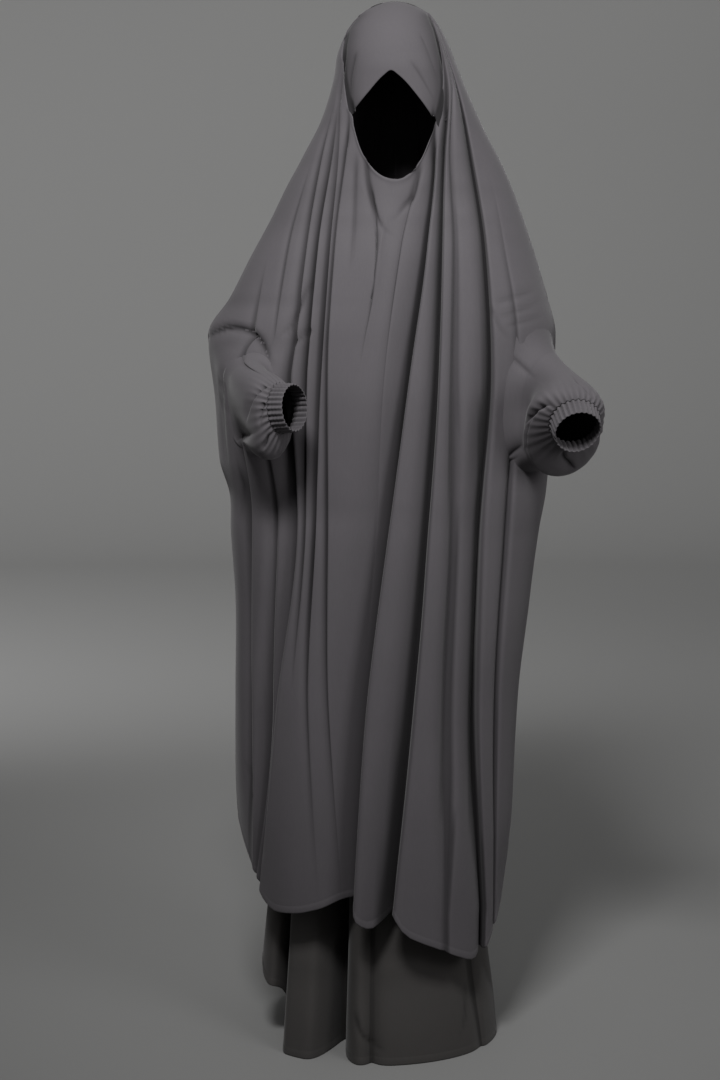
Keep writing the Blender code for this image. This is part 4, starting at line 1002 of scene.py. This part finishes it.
def forehead_cloth():
    """The smooth panel over the brow, down to its pointed arch, its sides under the hood's."""
    across = np.linspace(-PATCH_UNDER, 1 + PATCH_UNDER, count(PATCH_COLUMNS))
    arch_x, arch_z = rounded(FACE_TOP, ARCH_STEPS)

    def place(height):
        centre, half, _, _ = section_at(CAPE_SECTIONS, height)
        first, last = (np.arcsin(np.clip((seam_x(outline, height) - centre) / half, -0.99, 0.99))
                       for outline in (PATCH_LEFT, PATCH_RIGHT))
        return np.clip(first + across * (last - first), -1.57, 1.57), centre, half

    bottom = np.full(len(across), 1.60)
    for _ in range(30):
        angle, centre, half = place(bottom)
        bottom = 0.5 * bottom + 0.5 * np.interp(centre + half * np.sin(angle), arch_x, arch_z)
    bottom -= FOOT_DROP * np.clip(np.maximum(-across, across - 1) / LAP_TURN, 0, 1)
    heights = np.array([CROWN_HEIGHT - 0.0005 - s * (CROWN_HEIGHT - 0.0005 - bottom)
                        for s in np.linspace(0, 1, count(PATCH_ROWS)) ** 1.6])
    angles = np.array([place(row)[0] for row in heights])
    base, cloth, _ = cloth_at(CAPE_FRONT, angles.ravel(), heights.ravel())
    under = ease(1 - np.minimum(across, 1 - across) / LAP_TURN)[None, :, None]
    shape = heights.shape + (3,)
    laid = base.reshape(shape) * (1 - under) + cloth.reshape(shape) * under
    normals = grid_normals(laid)
    normals[0] = (0, 0, 1)
    grown = laid - normals * (PATCH_SUNK + PATCH_TUCKED * under)
    centre, half, _, _ = section_at(CAPE_SECTIONS, heights.ravel())
    seen_x = (centre + half * np.sin(angles.ravel())).reshape(heights.shape)
    outer, marks = add_creases(grown, normals, seen_x, heights, FOREHEAD_CREASES, 0, 0)
    # Painted shadow along the panel's sides under the hood's edges: a crisp dark line and a wider,
    # softer shade.
    bare = np.maximum(np.minimum(across - LEFT_LAP, 1 - RIGHT_LAP - across), 0)
    wide = PATCH_WIDTH * bare[None, :] * np.ones((len(heights), 1))
    below_crown = ease((CROWN_HEIGHT - 0.015 - heights) / 0.012)
    lines = np.minimum(shade_line_distance(wide / SEAM_SHADOW_WIDTH, below_crown),
                       shade_line_distance(wide / SEAM_SHADE_WIDTH, SEAM_SHADE * below_crown))
    return outer, outer - CLOTH * normals, (hollowness(outer), np.minimum(lines, marks))


def flared_root(shape, grid, flare):
    """The grid with its root spread over the cloth round the armhole in a soft curve."""
    rings, sides = grid.shape[:2]
    turn = np.arange(sides) / sides * 2 * math.pi
    wide, out = hole_points(shape, turn, by_quarter(flare, turn))
    wide = wide - ROOT_SUNK * out
    turned = int(FLARE_TURN * rings)
    curve = [wide * (1 - t) ** 2 + grid[0] * 2 * t * (1 - t) + grid[turned] * t**2
             for t in np.linspace(0, 1, turned + 8)]
    return np.concatenate([curve, grid[turned + 1:]])


def sleeve_cloth(shape, leave, swell, run, flare, creases):
    """A sleeve's fine grid, creased where it is drawn into the cuff."""
    sides = GATHERS * count(SIDES_A_GATHER)
    grid = sleeve_grid(shape, leave, swell, run, sides, count(SLEEVE_RINGS))
    grid = flared_root(shape, grid, flare)
    rings = len(grid)
    around = np.concatenate([grid, grid[:, :1]], axis=1)
    along, turning = np.gradient(around, axis=0), np.gradient(around, axis=1)
    normals = unit(np.cross(along, turning))
    inside = (normals * (around - around.mean(axis=1)[:, None])).sum(axis=2).mean() < 0
    normals = -normals if inside else normals
    along, turning = unit(along), unit(turning)
    step = np.linspace(0, 1, rings)[:, None] * np.ones(sides + 1)
    turn = (np.arange(sides + 1) / sides * 2 * math.pi)[None, :] * np.ones((rings, 1))
    for crease in creases:
        best = np.zeros_like(step)
        across = np.zeros(step.shape + (2,))
        points = [(s * SLEEVE_SCALE, math.radians(a) * TURN_SCALE) for s, a in crease.points]
        for lap in (-1, 0, 1):
            depth, way, _ = crease_at(step * SLEEVE_SCALE,
                                      (turn + lap * 2 * math.pi) * TURN_SCALE, crease, points)
            deeper = np.abs(depth) > np.abs(best)
            best = np.where(deeper, depth, best)
            across[deeper] = way[deeper]
        around = around - normals * best[:, :, None]
        way = across[:, :, :1] * along + across[:, :, 1:] * turning
        around = around + way * (best * crease.lean)[:, :, None]
    return around[:, :-1]


def cuff_cloth(shape):
    """The shirred band in line with the sleeve's end."""
    sides = GATHERS * count(SIDES_A_GATHER)
    turn = np.arange(sides) / sides * 2 * math.pi
    places = [row.along for row in CUFF_SHAPE]
    alongs = np.linspace(places[0], places[-1], count(CUFF_RINGS))
    sizes = smooth_values(places, [row.size for row in CUFF_SHAPE], alongs)
    gathers = smooth_values(places, [row.gather for row in CUFF_SHAPE], alongs)
    rows = []
    for along, size, gather in zip(alongs, sizes, gathers):
        wave = math.sin(math.pi * CUFF_BANDS * (along - places[0]) / places[-1])
        rows.append(wrist_ring(shape, turn, along, size * (1 + CUFF_BAND_RISE * abs(wave)), gather))
    return np.array(rows)


class Shade:
    """A socket in a node tree, with arithmetic that adds Math nodes."""

    def __init__(self, tree, socket):
        self.tree = tree
        self.socket = socket

    def __add__(self, other):
        return node(self.tree, "ShaderNodeMath", {"operation": "ADD"}, {0: self, 1: other})

    def __radd__(self, other):
        return self + other

    def __sub__(self, other):
        return node(self.tree, "ShaderNodeMath", {"operation": "SUBTRACT"}, {0: self, 1: other})

    def __mul__(self, other):
        return node(self.tree, "ShaderNodeMath", {"operation": "MULTIPLY"}, {0: self, 1: other})

    def __rmul__(self, other):
        return self * other


def node(tree, kind, settings=None, inputs=None, output=0):
    """Adds a node with its settings and the values or links of its sockets."""
    made = tree.nodes.new(kind)
    for key, value in (settings or {}).items():
        setattr(made, key, value)
    for key, value in (inputs or {}).items():
        if isinstance(value, Shade):
            tree.links.new(value.socket, made.inputs[key])
        else:
            made.inputs[key].default_value = value
    return Shade(tree, made.outputs[output])


def mixed(tree, share, first, second):
    """Mixes two colours by a share."""
    return node(tree, "ShaderNodeMix", {"data_type": "RGBA"},
                {0: share, 6: first, 7: second}, output=2)


def toned(colour, amount):
    """The colour, darker or lighter."""
    return tuple(amount * c for c in colour[:3]) + (1.0,)


def crepe(name, colour):
    """Matte crepe: a fine pebbled grain, faint slubs and a soft bloom of sheen, darkened by painted
    shade in its hollows and along its crevice lines.
    """
    material = bpy.data.materials.new(name)
    material.use_nodes = True
    tree = material.node_tree
    shader = tree.nodes["Principled BSDF"]
    place = node(tree, "ShaderNodeTexCoord", output="Object")
    grain = node(tree, "ShaderNodeTexNoise", inputs={"Vector": place, "Scale": 1500.0,
                                                     "Detail": 2.0, "Roughness": 0.6})
    stretched = node(tree, "ShaderNodeMapping", inputs={"Vector": place,
                                                        "Scale": (420.0, 420.0, 60.0)})
    slub = node(tree, "ShaderNodeTexNoise", inputs={"Vector": stretched, "Scale": 1.0,
                                                    "Detail": 3.0})
    cloud = node(tree, "ShaderNodeTexNoise", inputs={"Vector": place, "Scale": 7.0,
                                                     "Detail": 3.0})
    blend = 1.6 * (0.40 * cloud + 0.35 * grain + 0.25 * slub) - 0.3
    tone = mixed(tree, blend, toned(colour, 0.88), toned(colour, 1.12))
    # Painted shade: the cloth's hollows darken its colour towards a near-black copy of it.
    hollow_shade = node(tree, "ShaderNodeAttribute", {"attribute_name": "hollow_shade"}, output=2)
    shaded = mixed(tree, HOLLOW_SHADE * hollow_shade, tone, toned(colour, 0.12))
    # Painted shade: a dark line along each fold crevice, crease and forehead seam, mixed towards a
    # near-black copy of the colour.
    away = node(tree, "ShaderNodeAttribute", {"attribute_name": "crevice"}, output=2)
    line = node(tree, "ShaderNodeMath", {"operation": "EXPONENT"}, {0: -1.0 * (away * away)})
    crevice_shaded = mixed(tree, CREVICE_SHADE * line, shaded, toned(colour, 0.10))
    tree.links.new(crevice_shaded.socket, shader.inputs["Base Color"])
    rough = 0.78 + 0.12 * grain
    tree.links.new(rough.socket, shader.inputs["Roughness"])
    height = grain + 0.5 * slub
    bump = node(tree, "ShaderNodeBump", inputs={"Strength": 0.22, "Distance": 0.0006,
                                                "Height": height})
    tree.links.new(bump.socket, shader.inputs["Normal"])
    shader.inputs["Sheen Weight"].default_value = 0.16
    shader.inputs["Sheen Roughness"].default_value = 0.45
    shader.inputs["Specular IOR Level"].default_value = 0.28
    return material


class JilbabCloth(bpy.types.PropertyGroup):
    """Colour of the cloth; the skirt's darker colour is partly painted shade."""

    over_colour: bpy.props.FloatVectorProperty(
        name="Over-garment", description="Colour of the over-garment's crepe", subtype="COLOR",
        size=4, min=0.0, max=1.0, default=(0.112, 0.103, 0.112, 1.0))
    # The skirt's darker colour is partly its own and partly painted shade standing in for the dimmer
    # light low down.
    skirt_colour_and_shade: bpy.props.FloatVectorProperty(
        name="Skirt", description="Colour of the skirt's crepe", subtype="COLOR",
        size=4, min=0.0, max=1.0, default=(0.068, 0.064, 0.062, 1.0))


class JilbabStage(bpy.types.PropertyGroup):
    """Camera's place and lens."""

    distance: bpy.props.FloatProperty(
        name="Distance", description="Camera's distance in front of the side seams",
        default=3.40, unit="LENGTH")
    eye_height: bpy.props.FloatProperty(
        name="Eye height", description="Camera's height above the floor", default=1.30,
        unit="LENGTH")
    aside: bpy.props.FloatProperty(
        name="Aside", description="Camera's place to the right of the crown", default=-0.052,
        unit="LENGTH")
    tilt: bpy.props.FloatProperty(
        name="Tilt", description="How far the camera looks down", default=math.radians(7.35),
        unit="ROTATION")
    lens: bpy.props.FloatProperty(
        name="Lens", description="Focal length in millimetres", default=67.5)


def over_crepe():
    """The over-garment's material, made once."""
    found = bpy.data.materials.get("over_garment_crepe_look")
    return found or crepe("over_garment_crepe_look", bpy.context.scene.jilbab_cloth.over_colour)


def skirt_crepe():
    """The skirt's material, made once."""
    found = bpy.data.materials.get("skirt_crepe_look")
    return found or crepe("skirt_crepe_look", bpy.context.scene.jilbab_cloth.skirt_colour_and_shade)


class JILBAB_OT_front(bpy.types.Operator):
    """Drapes the over-garment's front"""

    bl_idname = "jilbab.front"
    bl_label = "Over-garment front"

    def execute(self, context):
        mesh = closed_mesh("over_garment_front", *front_cloth())
        piece = add_piece("over_garment_front", mesh, over_crepe(), "khimar_front")
        return {"FINISHED"}


class JILBAB_OT_back(bpy.types.Operator):
    """Drapes the over-garment's back"""

    bl_idname = "jilbab.back"
    bl_label = "Over-garment back"

    def execute(self, context):
        mesh = closed_mesh("over_garment_back", *back_cloth())
        piece = add_piece("over_garment_back", mesh, over_crepe(), "khimar_back")
        return {"FINISHED"}


class JILBAB_OT_forehead(bpy.types.Operator):
    """Makes the hood's smooth forehead panel"""

    bl_idname = "jilbab.forehead"
    bl_label = "Forehead panel"

    def execute(self, context):
        mesh = closed_mesh("hood_forehead", *forehead_cloth())
        piece = add_piece("hood_forehead", mesh, over_crepe(), "forehead_panel")
        return {"FINISHED"}


class JILBAB_OT_sleeves(bpy.types.Operator):
    """Makes both lower sleeves and their shirred cuffs"""

    bl_idname = "jilbab.sleeves"
    bl_label = "Sleeves and cuffs"

    def execute(self, context):
        for side, shape, leave, swell, run, flare, creases, flat in (
                ("right", RIGHT_SLEEVE, RIGHT_LEAVE, RIGHT_SWELL, RIGHT_RUN, RIGHT_FLARE,
                 RIGHT_CREASES, (0.38, 0.15)),
                ("left", LEFT_SLEEVE, LEFT_LEAVE, LEFT_SWELL, LEFT_RUN, LEFT_FLARE,
                 LEFT_CREASES, (0.42, 0.18))):
            name = "lower_sleeve_" + side
            grid = sleeve_cloth(shape, leave, swell, run, flare, creases)
            piece = add_piece(name, tube_grid_mesh(name, grid), over_crepe(), "sleeve_" + side)
            thicken(piece)
            name = "shirred_cuff_" + side
            piece = add_piece(name, tube_grid_mesh(name, cuff_cloth(shape)), over_crepe(),
                              "cuff_" + side)
            thicken(piece)
        return {"FINISHED"}


class JILBAB_OT_skirt(bpy.types.Operator):
    """Drapes the skirt's front and back"""

    bl_idname = "jilbab.skirt"
    bl_label = "Skirt"

    def execute(self, context):
        top = SKIRT_HEIGHTS.waist - SEAM_GAP
        for name, cad, side, low in (
                ("skirt_cloth_front", "skirt_front", SKIRT_FRONT, SKIRT_HEM_FRONT),
                ("skirt_cloth_back", "skirt_back", SKIRT_BACK, SKIRT_HEM_BACK)):
            position = np.linspace(0, len(side.places) + 1.0, count(SKIRT_COLUMNS))
            hem = hem_height(low, np.sin(panel_angles(side, position, np.zeros(len(position)))))
            low_edge = hem + HEM_ROWS[0]
            heights = np.array([low_edge + (top - low_edge) * (1 - share)
                                for share in np.linspace(0, 1, count(SKIRT_ROWS))[:-1]]
                               + [hem + above for above in HEM_ROWS])
            angles = np.array([panel_angles(side, position, row) for row in heights])
            outer, inner, marks = draped(side, angles, heights,
                                         [] if side.behind else SKIRT_CREASES,
                                         turned_hem(heights - hem))
            mesh = closed_mesh(name, softened(outer, SKIRT_PASSES),
                               softened(inner, SKIRT_PASSES), marks)
            piece = add_piece(name, mesh, skirt_crepe(), cad)
        return {"FINISHED"}


class JILBAB_OT_stage(bpy.types.Operator):
    """Sets the pale floor, painted lighter towards its far wall, the soft lights and the camera"""

    bl_idname = "jilbab.stage"
    bl_label = "Stage"

    def execute(self, context):
        stage = context.scene.jilbab_stage
        bpy.ops.object.select_all(action="DESELECT")
        sweep = [(-SWEEP_REACH, 0.0), (SWEEP_BEGINS, 0.0)]
        sweep += [(SWEEP_BEGINS + SWEEP_RADIUS * math.sin(turn),
                   SWEEP_RADIUS - SWEEP_RADIUS * math.cos(turn))
                  for turn in np.linspace(0.05, 1.5, 24)]
        sweep.append((SWEEP_BACK, SWEEP_REACH))
        corners = [(x, y, z + FLOOR - FLOOR_SUNK) for y, z in sweep
                   for x in (-SWEEP_REACH, SWEEP_REACH)]
        ground = bpy.data.meshes.new("pale_floor")
        ground.from_pydata(corners, [], [(2 * i, 2 * i + 1, 2 * i + 3, 2 * i + 2)
                                         for i in range(len(sweep) - 1)])
        ground.shade_smooth()
        floor = bpy.data.objects.new("pale_floor", ground)
        context.scene.collection.objects.link(floor)
        paint = bpy.data.materials.new("pale_floor")
        paint.use_nodes = True
        base = paint.node_tree.nodes["Principled BSDF"]
        # Painted light: the backdrop's colour grows lighter towards the far wall, standing in for
        # light falling on it.
        place = node(paint.node_tree, "ShaderNodeTexCoord", output="Object")
        back = node(paint.node_tree, "ShaderNodeSeparateXYZ", inputs={"Vector": place}, output=1)
        share = node(paint.node_tree, "ShaderNodeMapRange", {"interpolation_type": "SMOOTHSTEP"},
                     {"Value": back, "From Min": 0.3, "From Max": 3.4})
        tone = mixed(paint.node_tree, share, (0.33, 0.33, 0.326, 1.0), (0.52, 0.52, 0.514, 1.0))
        paint.node_tree.links.new(tone.socket, base.inputs["Base Color"])
        base.inputs["Roughness"].default_value = 0.75
        floor.data.materials.append(paint)
        lights = (("key", (-0.40, -2.0, 1.25), 9.8, 0.60, 70, (0.0, 0.0, -0.45)),
                  ("fill", (1.6, -1.8, -0.2), 3.8, 1.0, 90, (0.25, 0.0, -0.60)),
                  ("wall", (-2.6, 0.9, 0.6), 58.0, 1.6, 140, (-2.9, 8.2, 0.0)),
                  ("corner", (2.0, 1.2, 1.3), 12.0, 1.2, 90, (1.9, 8.2, 1.9)))
        for name, place, power, size, spread, target in lights:
            lamp = bpy.data.lights.new(name, "AREA")
            lamp.energy = power
            lamp.size = size
            lamp.spread = math.radians(spread)
            light = bpy.data.objects.new(name, lamp)
            light.location = place
            aim = Vector(target) - Vector(place)
            light.rotation_euler = aim.to_track_quat("-Z", "Y").to_euler()
            context.scene.collection.objects.link(light)
        world = bpy.data.worlds.new("studio")
        world.use_nodes = True
        sky = world.node_tree.nodes["Background"]
        sky.inputs["Color"].default_value = (0.80, 0.80, 0.80, 1.0)
        sky.inputs["Strength"].default_value = 0.23
        context.scene.world = world
        lens = bpy.data.cameras.new("camera")
        lens.lens = stage.lens
        lens.sensor_width = 36.0
        camera = bpy.data.objects.new("camera", lens)
        camera.location = (stage.aside, -stage.distance, stage.eye_height + FLOOR)
        camera.rotation_euler = (math.pi / 2 - stage.tilt, 0.0, 0.0)
        context.scene.collection.objects.link(camera)
        context.scene.camera = camera
        return {"FINISHED"}


class JILBAB_PT_panel(bpy.types.Panel):
    """Lists the garment's pieces in the sidebar"""

    bl_idname = "JILBAB_PT_panel"
    bl_label = "Two-piece jilbab"
    bl_space_type = "VIEW_3D"
    bl_region_type = "UI"
    bl_category = "Jilbab"

    def draw(self, context):
        for group in (context.scene.jilbab_cloth, context.scene.jilbab_stage):
            for key in group.__annotations__:
                self.layout.prop(group, key)
        for operator in OPERATORS:
            self.layout.operator(operator.bl_idname)


OPERATORS = (JILBAB_OT_front, JILBAB_OT_back, JILBAB_OT_forehead, JILBAB_OT_sleeves,
             JILBAB_OT_skirt, JILBAB_OT_stage)
GROUPS = (JilbabCloth, JilbabStage)


def register():
    """Adds the classes and the scene's settings."""
    for group in GROUPS + OPERATORS + (JILBAB_PT_panel,):
        bpy.utils.register_class(group)
    bpy.types.Scene.jilbab_cloth = bpy.props.PointerProperty(type=JilbabCloth)
    bpy.types.Scene.jilbab_stage = bpy.props.PointerProperty(type=JilbabStage)


def unregister():
    """Takes the classes and settings away again."""
    del bpy.types.Scene.jilbab_stage
    del bpy.types.Scene.jilbab_cloth
    for group in reversed(GROUPS + OPERATORS + (JILBAB_PT_panel,)):
        bpy.utils.unregister_class(group)


def main():
    """Builds every piece."""
    register()
    bpy.ops.jilbab.front()
    bpy.ops.jilbab.back()
    bpy.ops.jilbab.forehead()
    bpy.ops.jilbab.sleeves()
    bpy.ops.jilbab.skirt()
    bpy.ops.jilbab.stage()


if __name__ == "__main__":
    main()
